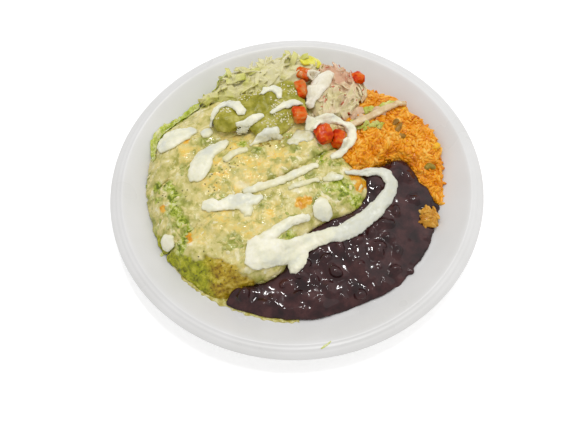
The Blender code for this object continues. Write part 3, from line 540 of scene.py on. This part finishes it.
def moist(name, stops, patch, spread=0.0, film=(0.3, 0.5), grit=1.5, rough=0.3, ior=1.36,
          glow=0.15, depth=1.5, tint=(1.0, 0.9, 0.6)):
    """A wet food's finish: its colours lie in patches, and differ by spread from piece to piece.

    Film is its least and most roughness, grit and rough are its grain's size and strength, and
    light goes depth millimetres deep into it. Patch, grit and depth are millimetres.
    """
    material, shader, where = finish_of(name)
    patches = node(material, "TexNoise", inputs={
        "Vector": where, "Scale": 1 / (patch * MM), "Detail": 4.0, "Roughness": 0.6})
    tone = node(material, "Attribute", {"attribute_name": "tone"}).outputs["Fac"]
    shade = node(material, "Math", {"operation": "MULTIPLY_ADD"}, {
        "Value": tone, "Value_001": spread, "Value_002": patches})
    shades = node(material, "ValToRGB", inputs={"Fac": shade}, stops=stops)
    gloss = node(material, "MapRange", inputs={
        "Value": patches, "From Min": 0.35, "From Max": 0.65, "To Min": film[0], "To Max": film[1]})
    grains = node(material, "TexNoise", inputs={
        "Vector": where, "Scale": 1 / (grit * MM), "Detail": 3.0})
    bump = node(material, "Bump", inputs={
        "Height": grains, "Strength": rough, "Distance": 0.4 * grit * MM})
    feed(material, shader, {
        "Base Color": shades, "Roughness": gloss, "Normal": bump, "IOR": ior, "Subsurface Weight": glow,
        "Subsurface Scale": depth * MM, "Subsurface Radius": tint})
    return material


# The broth has dyed the grains through, and a thin film of oil keeps them shining.
orange_rice = moist(
    "rice_boiled_in_tomato_broth", (
        (0.38, "#C86C00"), (0.52, "#DE8606"), (0.68, "#EC9C14"), (0.84, "#F2AE34"), (0.97, "#F6BE5A")),
    patch=10.0, spread=0.36, film=(0.14, 0.32), grit=2.0, rough=0.25, tint=(1.0, 0.55, 0.15))
# The spoonful that fell on the beans has soaked up some of their dark gravy.
gravy_rice = moist(
    "rice_stained_by_bean_gravy", (
        (0.38, "#AE6C14"), (0.56, "#C68A24"), (0.76, "#D49C38"), (0.95, "#DEB058")),
    patch=8.0, spread=0.36, film=(0.14, 0.32), grit=2.0, rough=0.25, tint=(1.0, 0.55, 0.15))
clear_rice = away_from(("cream", "tomato", "salad", "lettuce_rib"), 1.2)
grain_shape = pebble("grain_shape", 2, 0.35, 0.0, 1)
rice_draw = random.Random(5)
rice_cores = []
for heap_name, node_name, count, sunk, finish in (
    ("rice_heap", "rice", 1500, 0.35, orange_rice),
    ("rice_spoonful", "rice_clump", 90, 1.1, gravy_rice),
):
    core = skin_of(node_name, heap_name, 1.2, 6, -0.6)
    relief(core, lambda place: 2.4 * lumps(place, 9.0, 21) + 1.4 * lumps(place, 4.5, 22) - 0.3)
    paint(core, "tone", lambda place: 0.3)
    places = []
    for place, normal in spots_on(core, count, 2.1, 31, clear_rice):
        size = [part * rice_draw.uniform(0.8, 1.12) for part in GRAIN]
        places.append(lying(place + normal * (rice_draw.uniform(-0.65, 0.65) - sunk), normal,
                            rice_draw.uniform(0, math.tau), rice_draw.gauss(0.0, 0.25), size))
    grains = strew(heap_name + "_grains", grain_shape, places, 41)
    for piece in (core, grains):
        piece.data.materials.append(finish)
        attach(piece, "root")
        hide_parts(node_name)
    rice_cores.append(core)
bpy.data.objects.remove(grain_shape)


def level(surface, x, y):
    """The height of a surface at a place, seen from above, in millimetres."""
    hit = surface.ray_cast(Vector((x * MM, y * MM, 0.2)), -UP)[0]
    return 0.0 if hit is None else hit.z / MM


rice_top = surface_of(rice_cores)
pea_shape = pebble("pea_shape", 3, 0.1, 0.12, 2)
for bits_name, bits, stops in (
    ("pepper_bits", ((88, 36, 12, 5), (90, 30, 8, 5), (87, 43, 9, 5)),
     ((0.4, "#8A5E14"), (0.6, "#A2761E"), (0.8, "#BC8E2E"))),
    ("peas", ((112, 4, 9, 5), (109, 3, 6, 5)), ((0.4, "#8A7420"), (0.7, "#A48C34"))),
    ("corn_kernels", ((119, 22, 8, 6), (96, 60, 6, 5)), ((0.4, "#EDB21C"), (0.7, "#F2C53A"))),
):
    places = []
    for x, y, long, wide in bits:
        place = Vector((x, y, level(rice_top, x, y) + 0.6))
        places.append(lying(place, UP, rice_draw.uniform(0, math.tau), 0.1, (long, wide, 4.0)))
    bits_piece = strew(bits_name, pea_shape, places, 43)
    bits_piece.data.materials.append(moist(f"boiled_{bits_name}", stops, patch=5.0, film=(0.25, 0.4)))
    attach(bits_piece, "root")
bpy.data.objects.remove(pea_shape)

# Black beans, boiled soft and half mashed: whole beans sunk in a thick dark gravy that has run
# out in front of the rolls, with a thin wet skin over all of it.
BEAN = (11.0, 7.4, 6.2)
beans_showing = [
    (-13, -91), (-2, -85), (10, -89), (26, -85), (31, -64), (10, -69), (19, -73), (46, -59), (56, -54),
    (61, -71), (78, -35), (67, -46), (-51, -95), (-45, -98), (43, -103), (3, -77), (37, -72), (70, -58),
]
bean_shape = pebble("bean_shape", 3, 0.0, 0.0, 3)
kidney_bend = 0.3 / MM
for vert in bean_shape.data.vertices:
    vert.co.y -= kidney_bend * vert.co.x ** 2 - 0.03 * MM
bean_pool = skin_of("beans", "bean_pool", 1.2, 8, 0.1)
pool_top = surface_of([bean_pool])
bean_draw = random.Random(7)
bean_places = []
for x, y in beans_showing:
    place = Vector((x, y, level(pool_top, x, y) - 0.6))
    size = [part * bean_draw.uniform(0.85, 1.1) for part in BEAN]
    bean_places.append(lying(
        place, UP, bean_draw.uniform(0, math.tau), bean_draw.gauss(0, 0.2), size))
for place, normal in spots_on(bean_pool, 60, 9.0, 32, lambda place: place[2] > 12.0):
    size = [part * bean_draw.uniform(0.8, 1.05) for part in BEAN]
    bean_places.append(lying(
        place - normal * bean_draw.uniform(1.6, 2.9), normal, bean_draw.uniform(0, math.tau),
        bean_draw.gauss(0, 0.3), size))
whole_beans = strew("whole_beans", bean_shape, bean_places, 42)
bpy.data.objects.remove(bean_shape)
# Nothing soft stands up higher than this, a little below the top of the solids.
TOP = cad_high.z / MM - 0.3


def press_down(piece):
    """Flatten what stands higher than the top of the serving."""
    for vert in piece.data.vertices:
        vert.co.z = min(vert.co.z, TOP * MM)


def grow_together(core, bits, cell, rounds):
    """Join bits to a core and wrap them in one softened skin, as wet food clings together."""
    pick(core, bits)
    bpy.ops.object.join()
    soften(core, cell, rounds, 0.0)
    press_down(core)


grow_together(bean_pool, whole_beans, 0.8, 8)
relief(bean_pool, lambda place: smooth_step(8.5, 12.5, place[2]) * (
    0.9 * lumps(place, 13.0, 23) + 0.45 * lumps(place, 7.0, 24)))

# The gravy is nearly black with a breath of plum, and its wet skin throws small sharp glints.
dark_gravy = moist(
    "black_beans_in_thick_gravy", ((0.34, "#221011"), (0.5, "#361A1B"), (0.66, "#4A2928")),
    patch=11.0, film=(0.06, 0.12), grit=6.0, rough=0.03, ior=1.42, glow=0.0)
bean_pool.data.materials.append(dark_gravy)
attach(bean_pool, "root")
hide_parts("beans")

# Guacamole: avocado mashed by hand and spooned on in soft lumps, olive green, with darker
# pieces that were left whole.
guacamole = skin_of("guacamole", "mashed_avocado", 0.9, 6, 0.3)
relief(guacamole, lambda place: (
    1.3 * lumps(place, 9.0, 25) + 0.8 * lumps(place, 4.0, 26) + 0.35 * lumps(place, 2.0, 27)))
# Oily mash, satin where it is smooth and grainy where the flesh has torn.
avocado = moist(
    "mashed_avocado", ((0.34, "#837F16"), (0.45, "#98922A"), (0.55, "#AAA23C"), (0.68, "#C0B860")),
    patch=9.0, film=(0.18, 0.4), grit=2.4, rough=0.25, tint=(0.9, 1.0, 0.4))
guacamole.data.materials.append(avocado)
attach(guacamole, "root")
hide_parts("guacamole")

# Lettuce: crisp leaves cut into short shreds with a knife and heaped behind the guacamole, the
# ribs nearly clear and the leaf edges a fresh green.


def shred(name, length, width, thickness, wave, seed, cut=0.75):
    """One cut piece of leaf: a thin strip, wavy along its length, its ends cut off nearly square."""
    draw = random.Random(seed)
    phase, curl = draw.uniform(0, math.tau), draw.uniform(-0.2, 0.2)
    bpy.ops.object.select_all(action="DESELECT")
    bpy.ops.mesh.primitive_grid_add(x_subdivisions=9, y_subdivisions=3, size=1.0)
    strip = bpy.context.object
    strip.name = name
    for vert in strip.data.vertices:
        t, side = vert.co.x, 2.0 * vert.co.y
        narrow = cut + (1.0 - cut) * math.cos(math.pi * t)
        lift = wave * math.sin(phase + 8.0 * t) - 2.0 * wave * t * t + 0.5 * wave * side * side
        vert.co = Vector((
            length * (t + 0.06 * side * math.sin(phase)),
            0.5 * width * narrow * side + length * curl * t * t,
            lift + 0.2 * width * side * math.sin(2.0 * t + phase),
        )) * MM
    solid = strip.modifiers.new("Leaf", "SOLIDIFY")
    solid.thickness = thickness * MM
    solid.offset = 0.0
    bpy.ops.object.modifier_apply(modifier="Leaf")
    return strip


def heap_of_shreds(name, carrier, kinds, count, apart, lift, tilt, lie, seed, keep):
    """A loose layer of shreds of a few kinds, strewn over a core.

    Lift is their least and most height over it, and lie the mean and spread of their directions.
    """
    draw = random.Random(seed)
    layers = []
    for number, kind in enumerate(kinds):
        places = []
        for place, normal in spots_on(carrier, count // len(kinds), apart, seed + number, keep):
            size = [draw.uniform(0.75, 1.2), draw.uniform(0.75, 1.2), draw.uniform(0.5, 1.2)]
            places.append(lying(
                place + normal * draw.uniform(*lift), normal, draw.gauss(*lie), draw.gauss(0.0, tilt), size))
        layers.append(strew(f"{name}_{number}", kind, places, seed + number))
        bpy.data.objects.remove(kind)
    pick(*layers)
    bpy.ops.object.join()
    heap = layers[0]
    heap.name = heap.data.name = name
    for vert in heap.data.vertices:
        vert.co.z = min(vert.co.z, (TOP + 0.2 * lumps(vert.co / MM, 3.0, seed)) * MM)
    return heap


# Wet leaf lets some light through, and the shreds' colour is painted paler still, standing in for
# that light, so that they have almost no dark sides.
crisp_leaf = moist(
    "crisp_cut_lettuce", ((0.38, "#CACC66"), (0.54, "#D6D288"), (0.72, "#D8D19A"), (0.95, "#DED7B0")),
    patch=10.0, spread=0.4, film=(0.18, 0.36), grit=4.0, rough=0.1, glow=0.3, tint=(1.0, 1.0, 0.7))
lettuce_core = skin_of("lettuce", "lettuce_heap", 1.2, 10, -1.0)
relief(lettuce_core, lambda place: 1.2 * lumps(place, 9.0, 28))
lettuce_kinds = [
    shred(f"lettuce_kind_{i}", 13 + 3 * i, 3.8 + 0.6 * i, 1.1, 0.5, 50 + i, 0.85) for i in range(4)]
clear_heap = away_from(("cream", "tomato"), 1.5)
lettuce_shreds = heap_of_shreds(
    "lettuce_shreds", lettuce_core, lettuce_kinds, count=260, apart=3.4, lift=(-0.2, 1.0), tilt=0.07,
    lie=(0.5, 0.6), seed=60, keep=clear_heap)
grow_together(lettuce_core, lettuce_shreds, 0.55, 1)
# The shreds turn paler towards the back of the heap, and differ in patches.
paint(lettuce_core, "tone", lambda place: (
    0.9 * smooth_step(66.0, 100.0, place[1]) + 0.5 * lumps(place, 5.0, 29)))
# Single shreds stand up along the back of the heap.
crest = [
    (-52, 93), (-48.5, 94), (-44, 96.5), (-39, 99.5), (-35, 100), (-31, 99), (-26.5, 102.5), (-22, 106.5),
    (-18, 109), (-13.5, 110.5), (-9, 111.5), (-4.6, 112.5), (0, 113), (4, 113), (7.5, 114), (10, 114),
    (13, 110), (-46, 91), (-37, 95), (-29, 97), (-20, 102), (-11, 106), (-3, 108), (5, 108), (11, 107),
]
crest_draw = random.Random(22)
crest_kind = shred("crest_kind", 15, 5.0, 0.5, 1.0, 55, 0.85)
places = []
leaning_forward = Vector((0.0, -0.2, 1.0)).normalized()
for x, y in crest:
    place = Vector((
        x + crest_draw.gauss(0, 1.5), y - 2.5 + crest_draw.gauss(0, 1.5), crest_draw.uniform(40, 45)))
    size = (crest_draw.uniform(0.6, 1.2), crest_draw.uniform(0.6, 1.3), 1.0)
    places.append(lying(
        place, leaning_forward, crest_draw.uniform(0.1, 3.0), crest_draw.uniform(-0.1, 0.5), size))
lettuce_crest = strew("lettuce_crest", crest_kind, places, 46)
bpy.data.objects.remove(crest_kind)
for piece in (lettuce_core, lettuce_crest):
    piece.data.materials.append(crisp_leaf)
    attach(piece, "root")
    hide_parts("lettuce")

# Cabbage and onion salad: white cabbage and red onion sliced thin and dressed, so that the
# slices are glassy, pale green to pink, heaped on the rice and the ends of the rolls.
pale_cabbage = moist(
    "sliced_cabbage_and_onion", (
        (0.4, "#D8CC9A"), (0.56, "#DFCFAA"), (0.74, "#D9BE9A"), (0.95, "#D0A586")),
    patch=12.0, spread=0.45, film=(0.14, 0.3), grit=4.0, rough=0.1, glow=0.3, tint=(1.0, 0.95, 0.75))
salad_core = skin_of("salad", "salad_heap", 1.2, 10, -1.0)
relief(salad_core, lambda place: 1.2 * lumps(place, 8.0, 30))
cabbage_kinds = [
    shred(f"cabbage_kind_{i}", 12 + 2 * i, 2.8 + 0.7 * i, 1.2, 0.7, 70 + i, 0.9) for i in range(4)]
salad_slices = heap_of_shreds(
    "salad_slices", salad_core, cabbage_kinds, count=130, apart=3.8, lift=(0.0, 1.3), tilt=0.08,
    lie=(1.6, 0.5), seed=80, keep=clear_heap)
grow_together(salad_core, salad_slices, 0.55, 1)
paint(salad_core, "tone", lambda place: (
    0.95 * smooth_step(60.0, 88.0, place[1]) * smooth_step(34.0, 42.0, place[2])
    + 0.8 * lumps((place[0], 0.35 * place[1], place[2]), 4.0, 31)))
salad_core.data.materials.append(pale_cabbage)
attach(salad_core, "root")
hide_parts("salad")

# Small flecks of red pepper are mixed through the salad.
fleck_shape = pebble("fleck_shape", 1, 0.3, 0.2, 4)
fleck_draw = random.Random(9)
flecks = []
for place, normal in spots_on(salad_core, 26, 4.0, 33, away_from(("cream", "tomato"), 2.0)):
    size = (fleck_draw.uniform(2.5, 5.0), fleck_draw.uniform(1.0, 1.6), 0.9)
    flecks.append(lying(place + normal * 2.4, normal, fleck_draw.uniform(0, math.tau), 0.2, size))
salad_top = surface_of([salad_core])
for x, y, angle in (
    (28, 62, 1.0), (29.5, 60, 2.2), (28.5, 57.5, 1.5), (36, 68, 0.2), (41, 68, 0.0), (46, 64, 0.8),
):
    place = Vector((x, y, level(salad_top, x, y)))
    flecks.append(lying(place, UP, angle, 0.0, (3.6, 1.5, 1.4)))
red_flecks = strew("red_flecks", fleck_shape, flecks, 44)
press_down(red_flecks)
bpy.data.objects.remove(fleck_shape)
red_flecks.data.materials.append(moist(
    "chopped_red_pepper", ((0.4, "#A83A1C"), (0.6, "#C0553A"), (0.8, "#D08A70")), patch=4.0, spread=0.3))
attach(red_flecks, "root")

# Diced tomato: ripe fruit cut in blocks with a knife, red skin on one side and wet paler flesh
# on the others. Its own juice makes it shine.
ripe_tomato = moist(
    "diced_ripe_tomato", ((0.36, "#B42A00"), (0.46, "#D03E00"), (0.56, "#D8620C"), (0.68, "#C88244")),
    patch=6.0, spread=1.0, film=(0.06, 0.14), grit=4.0, rough=0.1, ior=1.25, glow=0.0)
for number in range(1, 7):
    dice = skin_of(f"tomato_{number}", f"tomato_dice_{number}", 0.5, 2, 0.15)
    relief(dice, lambda place: 0.5 * lumps(place, 5.0, 33) + 0.2 * lumps(place, 2.4, 34))
    middle = sum((vert.co for vert in dice.data.vertices), Vector()) / len(dice.data.vertices) / MM
    paint(dice, "tone", lambda place: 0.06 if middle.x < 15.0 else 0.0)
    dice.data.materials.append(ripe_tomato)
    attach(dice, "root")
    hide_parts(f"tomato_{number}")

# A yellow leaf from the lettuce's heart, crisp and satin, and a long pale rib, thick and watery,
# that lies over the rice.
heart_leaf = moist(
    "yellow_lettuce_heart", ((0.36, "#D2C93A"), (0.52, "#E2DB4E"), (0.66, "#ECE690")),
    patch=8.0, film=(0.25, 0.4), glow=0.4, depth=2.0, tint=(1.0, 1.0, 0.4))
rib_flesh = moist(
    "pale_lettuce_rib", ((0.36, "#C8AA78"), (0.52, "#D8BE92"), (0.66, "#E2D0AE")), patch=7.0,
    film=(0.15, 0.3), glow=0.4, depth=2.0, tint=(1.0, 0.9, 0.5))
for node_name, name, finish, slot_name in (
    ("yellow_leaf", "lettuce_heart_leaf", heart_leaf, "yellow_leaf"),
    ("lettuce_rib", "pale_rib", rib_flesh, "cabbage_and_onion"),
):
    leaf = skin_of(node_name, name, 0.5, 6, 0.25)
    relief(leaf, lambda place: 0.5 * lumps(place, 5.0, 35))
    paint(leaf, "tone", lambda place: 0.5)
    leaf.data.materials.append(finish)
    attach(leaf, "root")
    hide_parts(node_name)

# Some shreds of green leaf and white cabbage have slipped off the heaps on to the rice. They are
# thin, and their colour is painted paler than the leaf they were cut from, for the light that comes through
# them.
fresh_leaf = moist(
    "fresh_green_shreds", ((0.38, "#B5BC48"), (0.54, "#CBCE74"), (0.7, "#DEDCA0")), patch=6.0,
    film=(0.2, 0.35), glow=0.5, depth=2.0, tint=(0.8, 1.0, 0.4))
for name, finish, slot_name, spread_out in (
    ("slipped_lettuce", fresh_leaf, "lettuce", (
        (83, 60, 0.3, 13, 7), (78, 58, 0.2, 9, 6), (63, 56, 0.4, 10, 6), (67, 57, -0.3, 9, 5),
        (54, 41, 0.2, 6, 2.5), (58, 39, -0.3, 7, 2.5), (62, 42, 0.5, 6, 3), (66, 39.5, 0.1, 8, 2.5),
        (70, 42, -0.4, 7, 3), (74, 40, 0.3, 7, 2.5), (61, 37, 0.6, 6, 2), (72, 38, 0.0, 6, 2),
        (50, 44, 0.4, 7, 4))),
    ("slipped_cabbage", pale_cabbage, "cabbage_and_onion", (
        (72, 55, 0.2, 10, 6), (76, 53, -0.2, 8, 4), (56, 54, 0.5, 11, 7), (52, 50, 0.1, 10, 6),
        (57, 49, -0.4, 9, 5))),
):
    slice_kind = shred("slice_kind", 12, 5.0, 0.6, 0.7, 90, 0.85)
    places = []
    for x, y, angle, long, wide in spread_out:
        place = Vector((x, y, level(rice_top, x, y) + 1.8))
        places.append(lying(place, UP, angle, 0.05, (long / 12, wide / 5, 1.0)))
    slices = strew(name, slice_kind, places, 45)
    bpy.data.objects.remove(slice_kind)
    slices.data.materials.append(finish)
    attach(slices, "root")

# Cream, thinned until it pours, drizzled over everything with a spoon: thick smooth strokes
# whose edges have crept out unevenly over what they lie on. It is satin, and the food under it
# tints it where it is thin.
poured_cream = moist(
    "poured_cream", (
        (0.06, "#D2D3C6"), (0.28, "#DADACB"), (0.42, "#E7E5CD"), (0.54, "#EEEAD3"), (0.66, "#F4F1E1")),
    patch=14.0, spread=-0.3, film=(0.2, 0.35), grit=4.0, rough=0.08, ior=1.38, glow=0.3, depth=2.5,
    tint=(1.0, 1.0, 0.85))
shader = poured_cream.node_tree.nodes["Principled BSDF"]
thick_colour = shader.inputs["Base Color"].links[0].from_socket
thin = node(poured_cream, "Attribute", {"attribute_name": "thin"}).outputs["Fac"]
veil = node(poured_cream, "Math", {"operation": "MULTIPLY"}, {"Value": thin, "Value_001": 0.75})
tinted = node(poured_cream, "Mix", {"data_type": "RGBA"}, {
    "Factor_Float": veil, "A_Color": thick_colour, "B_Color": colour("#DAD29C")})
feed(poured_cream, shader, {"Base Color": tinted})
sour_cream = moist(
    "thick_sour_cream", ((0.36, "#DED6BC"), (0.5, "#E8E1CC"), (0.64, "#F1ECDC")), patch=10.0,
    film=(0.15, 0.3), grit=4.0, rough=0.08, ior=1.38, glow=0.2, depth=2.0, tint=(1.0, 0.95, 0.85))


def creep(piece, reach, size, seed, spread):
    """Spread the sides of a piece by spread millimetres, uneven by reach, and hardly lift its top."""
    moved = []
    for vert in piece.data.vertices:
        place = vert.co / MM
        shift = spread + reach * (lumps(place, size, seed) + 0.45 * lumps(place, 0.45 * size, seed + 1))
        moved.append((place + Vector((vert.normal.x, vert.normal.y, 0.25 * vert.normal.z)) * shift) * MM)
    piece.data.vertices.foreach_set("co", np.array(moved).ravel())
    piece.data.update()


roll_tops = surface_of(rolls)
for node_name in sorted(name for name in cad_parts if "cream" in name):
    stroke = skin_of(node_name, node_name + "_stroke", 0.5, 14, 0.35)
    on_the_left = node_name in ("cream_corner", "cream_slide", "cream_spot_left", "cream_spot_back")
    streak = "streak" in node_name
    small = "spot" in node_name or "drop" in node_name
    creep(stroke, 0.6 if small else 1.3, 5.5, 36, 0.9 if on_the_left else 0.6 if streak else 0.0)
    press_down(stroke)

    def thinness(place):
        thick = smooth_step(0.5, 3.4 if streak else 2.4, place[2] - level(roll_tops, place[0], place[1]))
        return min(1.0, max(0.0, 0.35 * lumps(place, 3.2, 39) + 1.0 - thick))

    paint(stroke, "thin", thinness)
    if node_name == "cream_pour":
        paint(stroke, "tone", lambda place: smooth_step(-10.0, 55.0, place[0]))
    else:
        paint(stroke, "tone", lambda place: 0.2)
    stroke.data.materials.append(sour_cream if node_name.startswith("sour") else poured_cream)
    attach(stroke, "root")
    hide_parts(node_name)

# The outer leaf that lines the back left side of the plate, under the rolls: only its ruffled
# margin shows, lying on the plate's cove, thin, moist and glowing green where light comes through.


def curve_along(path, step):
    """Stations about step apart on a smooth curve through points."""
    points = [np.array(point, dtype=float) for point in path]
    points = [2 * points[0] - points[1], *points, 2 * points[-1] - points[-2]]
    stations = []
    for a, b, c, d in zip(points, points[1:], points[2:], points[3:]):
        count = max(1, round(math.dist(b[:2], c[:2]) / step))
        for t in (i / count for i in range(count)):
            bend = (2 * a - 5 * b + 4 * c - d) * t * t + (3 * b - a - 3 * c + d) * t ** 3
            stations.append(0.5 * (2 * b + (c - a) * t + bend))
    return [*stations, points[-2]]


def laid_strip(name, path, thickness, ground, ruffle, seed):
    """A thin strip along points (x, y, half width), draped over what is under it, its edges uneven."""
    stations = curve_along(path, 1.2)
    section = ((-1.0, 0.2), (-0.75, 0.75), (-0.4, 0.95), (0.0, 1.0), (0.4, 0.95), (0.75, 0.75), (1.0, 0.2))
    sunk = 0.25
    points = []
    for i, (x, y, half) in enumerate(stations):
        before, after = stations[max(i - 1, 0)], stations[min(i + 1, len(stations) - 1)]
        run = math.dist(before[:2], after[:2])
        out = Vector((-(after[1] - before[1]) / run, (after[0] - before[0]) / run))
        upper, under = [], []
        for share, full in section:
            reach = share * half * (1.0 + 0.5 * lumps((x, y, 9.0 * share), 3.5, seed))
            place = Vector((x, y)) + out * reach
            low = level(ground, *place)
            low += ruffle * abs(share) * (0.5 + 0.5 * lumps((x, y, 5.0 * share), 4.0, seed + 1))
            upper.append((*place, low + thickness * full))
            under.append((*place, low - sunk))
        points += upper + under[::-1]
    ring = 2 * len(section)
    faces = [tuple(range(ring)), tuple(range(ring * (len(stations) - 1), ring * len(stations)))]
    for start in range(0, ring * (len(stations) - 1), ring):
        for k in range(ring):
            after = (k + 1) % ring
            faces.append((start + k, start + after, start + ring + after, start + ring + k))
    mesh = bpy.data.meshes.new(name)
    mesh.from_pydata([Vector(point) * MM for point in points], [], faces)
    strip = bpy.data.objects.new(name, mesh)
    bpy.context.collection.objects.link(strip)
    pick(strip)
    bpy.ops.object.mode_set(mode="EDIT")
    bpy.ops.mesh.select_all(action="SELECT")
    bpy.ops.mesh.normals_make_consistent(inside=False)
    bpy.ops.object.mode_set(mode="OBJECT")
    bpy.ops.object.shade_smooth()
    return strip


plate_and_food = surface_of([dinner_plate, *rolls, guacamole, bean_pool, lettuce_core])
leaf_margin = laid_strip("lettuce_leaf_margin", [
    (-117, 24, 1.5), (-119, 34, 2.5), (-119, 45, 3.5), (-112, 58, 4.0), (-101, 69, 4.0), (-89, 79, 4.5),
    (-77, 89, 5.0), (-66, 97, 5.0), (-54, 104, 4.0),
], 0.7, plate_and_food, 3.0, 51)
leaf_margin.data.materials.append(moist(
    "fresh_lettuce_leaf_edge", (
        (0.36, "#A2B03C"), (0.48, "#BEC85E"), (0.58, "#D4D88A"), (0.68, "#E4E4B4")),
    patch=6.0, film=(0.2, 0.35), glow=0.5, depth=3.0, tint=(0.8, 1.0, 0.3)))
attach(leaf_margin, "root")

# Green sauce has run out round the front of the rolls and dried thin on the plate, with two
# small smears of it on the rim, where the plate was carried. A thin film of cream has run off the
# curl round the tomato and soaked into the cheese. All of it is wet and no thicker than a film.
bare_plate = surface_of([dinner_plate])
thin_sauce = moist(
    "thin_green_sauce", ((0.36, "#A89A44"), (0.48, "#BDB25E"), (0.58, "#CEC684"), (0.68, "#DAD4A6")),
    patch=4.0, film=(0.15, 0.35), rough=0.4, glow=0.2)
green_smear = moist(
    "green_sauce_smear", ((0.36, "#BFC766"), (0.5, "#D0D585"), (0.64, "#DEE0AC")), patch=4.0,
    film=(0.15, 0.35), glow=0.2)
cream_film = moist(
    "thin_film_of_cream", ((0.36, "#D2CC9C"), (0.5, "#DEDABA"), (0.62, "#E6E2CA")), patch=6.0,
    film=(0.15, 0.3), glow=0.2)
for name, path, thickness, finish, ground, seed in (
    ("sauce_pool_edge", [(-101, -58, 3.0), (-96, -68, 3.5), (-87, -80, 4.0), (-73, -91.5, 4.5),
                         (-58, -100, 5.0), (-44, -107, 4.6), (-30, -112.5, 4.4), (-15, -116, 4.2),
                         (-4, -117.5, 3.0)], 0.7, thin_sauce, bare_plate, 52),
    ("sauce_smear_front", [(10, -146, 0.4), (12.5, -144.5, 0.8), (15, -143, 0.7), (17.5, -141, 0.3)], 0.3,
     green_smear, bare_plate, 53),
    ("sauce_smear_left", [(-110, -60, 0.8), (-109, -57.5, 1.3), (-108.5, -55, 0.7)], 0.4, green_smear,
     bare_plate, 54),
    ("cream_film", [(-4, 23, 2.0), (-1, 25.5, 4.5), (5, 28.5, 6.5), (11, 30.5, 7.0), (17, 31, 5.0)], 0.9,
     cream_film, roll_tops, 55),
):
    smear = laid_strip(name, path, thickness, ground, 0.0, seed)
    smear.data.materials.append(finish)
    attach(smear, "root")

# What was scattered last: grated cheese that has half melted into the blanket, bits of green
# chile, specks of dried herb, guacamole that has mixed with sauce, and white crumbs of fresh
# cheese, which are dry and dull.
open_cheese = away_from(("guacamole", "lettuce", "salad", "rice", "beans", "cream", "tomato"), 1.2)
clear_of_cream = away_from(("cream", "tomato"), 0.8)
scatter_draw = random.Random(13)
herb_patches = [(-67, -9, 7), (-84, -82, 9), (-98, -12, 12), (-66, -80, 14), (-60, 10, 14)]
smear_patches = [(-26, 24, 4), (-18, 25, 5), (-9, 26, 5), (-2, 30, 4)]
crumb_patches = [
    (-40, 75, 10), (-27, 74, 7), (-1, 71, 6), (-4, 44, 7), (-20, 42, 7), (-12, 57, 7), (-52, 60, 9),
]
cheese_crumb_patches = [(-22, 24, 14), (-45, 30, 8), (-60, -15, 18), (-20, -30, 12), (20, 10, 10)]


def on_cheese(place):
    """Whether a place is on the cheese, with nothing else lying on it."""
    return bare_tortilla(place) < 0.3 and open_cheese(place)


def on_green_cheese(place):
    """Whether green sauce shows through the open cheese there."""
    return on_cheese(place) and green_sauce(place) > 0.45


def in_herb_patch(place):
    """Whether the herb fell there."""
    return open_cheese(place) and near(place, herb_patches) > 0.25


def in_crumb_patch(place):
    """Whether white crumbs lie there on the guacamole, in loose drifts."""
    uneven = 0.6 * lumps(place, 6.0, 38)
    return clear_of_cream(place) and uneven + near(place, crumb_patches) > 0.4


grated = moist(
    "grated_cheese_half_melted", ((0.4, "#D2C478"), (0.6, "#DACB88"), (0.8, "#E0D49A"), (1.0, "#E6DCB0")),
    patch=5.0, spread=0.5, film=(0.12, 0.35))
chile = moist(
    "green_chile_bits", ((0.4, "#8E9838"), (0.6, "#A6AC50"), (0.8, "#BDBC74")), patch=4.0, spread=0.4,
    film=(0.15, 0.35), glow=0.2, tint=(0.8, 1.0, 0.4))
herb = moist("dried_herb_specks", ((0.4, "#4A4514"), (0.7, "#6E6426")), patch=3.0, glow=0.0)
smeared = moist(
    "guacamole_mixed_with_sauce", ((0.4, "#7E6412"), (0.6, "#988028"), (0.8, "#B49C4C")), patch=4.0,
    spread=0.4, film=(0.15, 0.35))
fresh = moist(
    "fresh_white_cheese_crumbs", ((0.4, "#D2C896"), (0.7, "#E6DFBE")), patch=4.0, spread=0.2,
    film=(0.4, 0.6), glow=0.2, tint=(1.0, 1.0, 0.85))
crumb = pebble("crumb_shape", 2, 0.25, 0.35, 5)
for name, carriers, count, apart, size, sink, finish, slot_name, keep, seed in (
    ("grated_cheese", rolls, 130, 5.0, ((3, 7), (2.2, 3.6), (1.2, 1.8)), 0.5, grated,
     "cheese_and_green_sauce", on_cheese, 61),
    ("chile_bits", rolls, 150, 4.5, ((3, 7), (2, 4), (1.2, 1.8)), 0.35, chile,
     "cheese_and_green_sauce", on_green_cheese, 64),
    ("herb_specks", rolls, 150, 2.5, ((0.8, 1.6), (0.6, 1.0), (0.5, 0.8)), -0.1, herb,
     "cheese_and_green_sauce", in_herb_patch, 66),
    ("guacamole_smears", rolls, 1200, 1.6, ((2, 5), (1.5, 3), (1.0, 1.6)), 0.2, smeared,
     "guacamole", lambda place: near(place, smear_patches) > 0.4, 69),
    ("white_crumbs_on_guacamole", [guacamole], 140, 1.2, ((0.7, 3.0), (0.6, 2.0), (0.5, 1.1)), 0.1,
     fresh, "cream", in_crumb_patch, 67),
    ("white_crumbs_on_cheese", rolls, 80, 1.5, ((0.5, 1.6), (0.5, 1.2), (0.5, 0.9)), -0.1, fresh,
     "cream", lambda place: on_cheese(place) and near(place, cheese_crumb_patches) > 0.3, 68),
):
    places = []
    for number, carrier in enumerate(carriers):
        for place, normal in spots_on(carrier, count // len(carriers), apart, seed + number, keep):
            sides = [scatter_draw.uniform(least, most) for least, most in size]
            places.append(lying(
                place - normal * sink, normal, scatter_draw.uniform(0, math.tau),
                scatter_draw.gauss(0.0, 0.15), sides))
    bits = strew(name, crumb, places, seed)
    press_down(bits)
    bits.data.materials.append(finish)
    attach(bits, "root")
bpy.data.objects.remove(crumb)
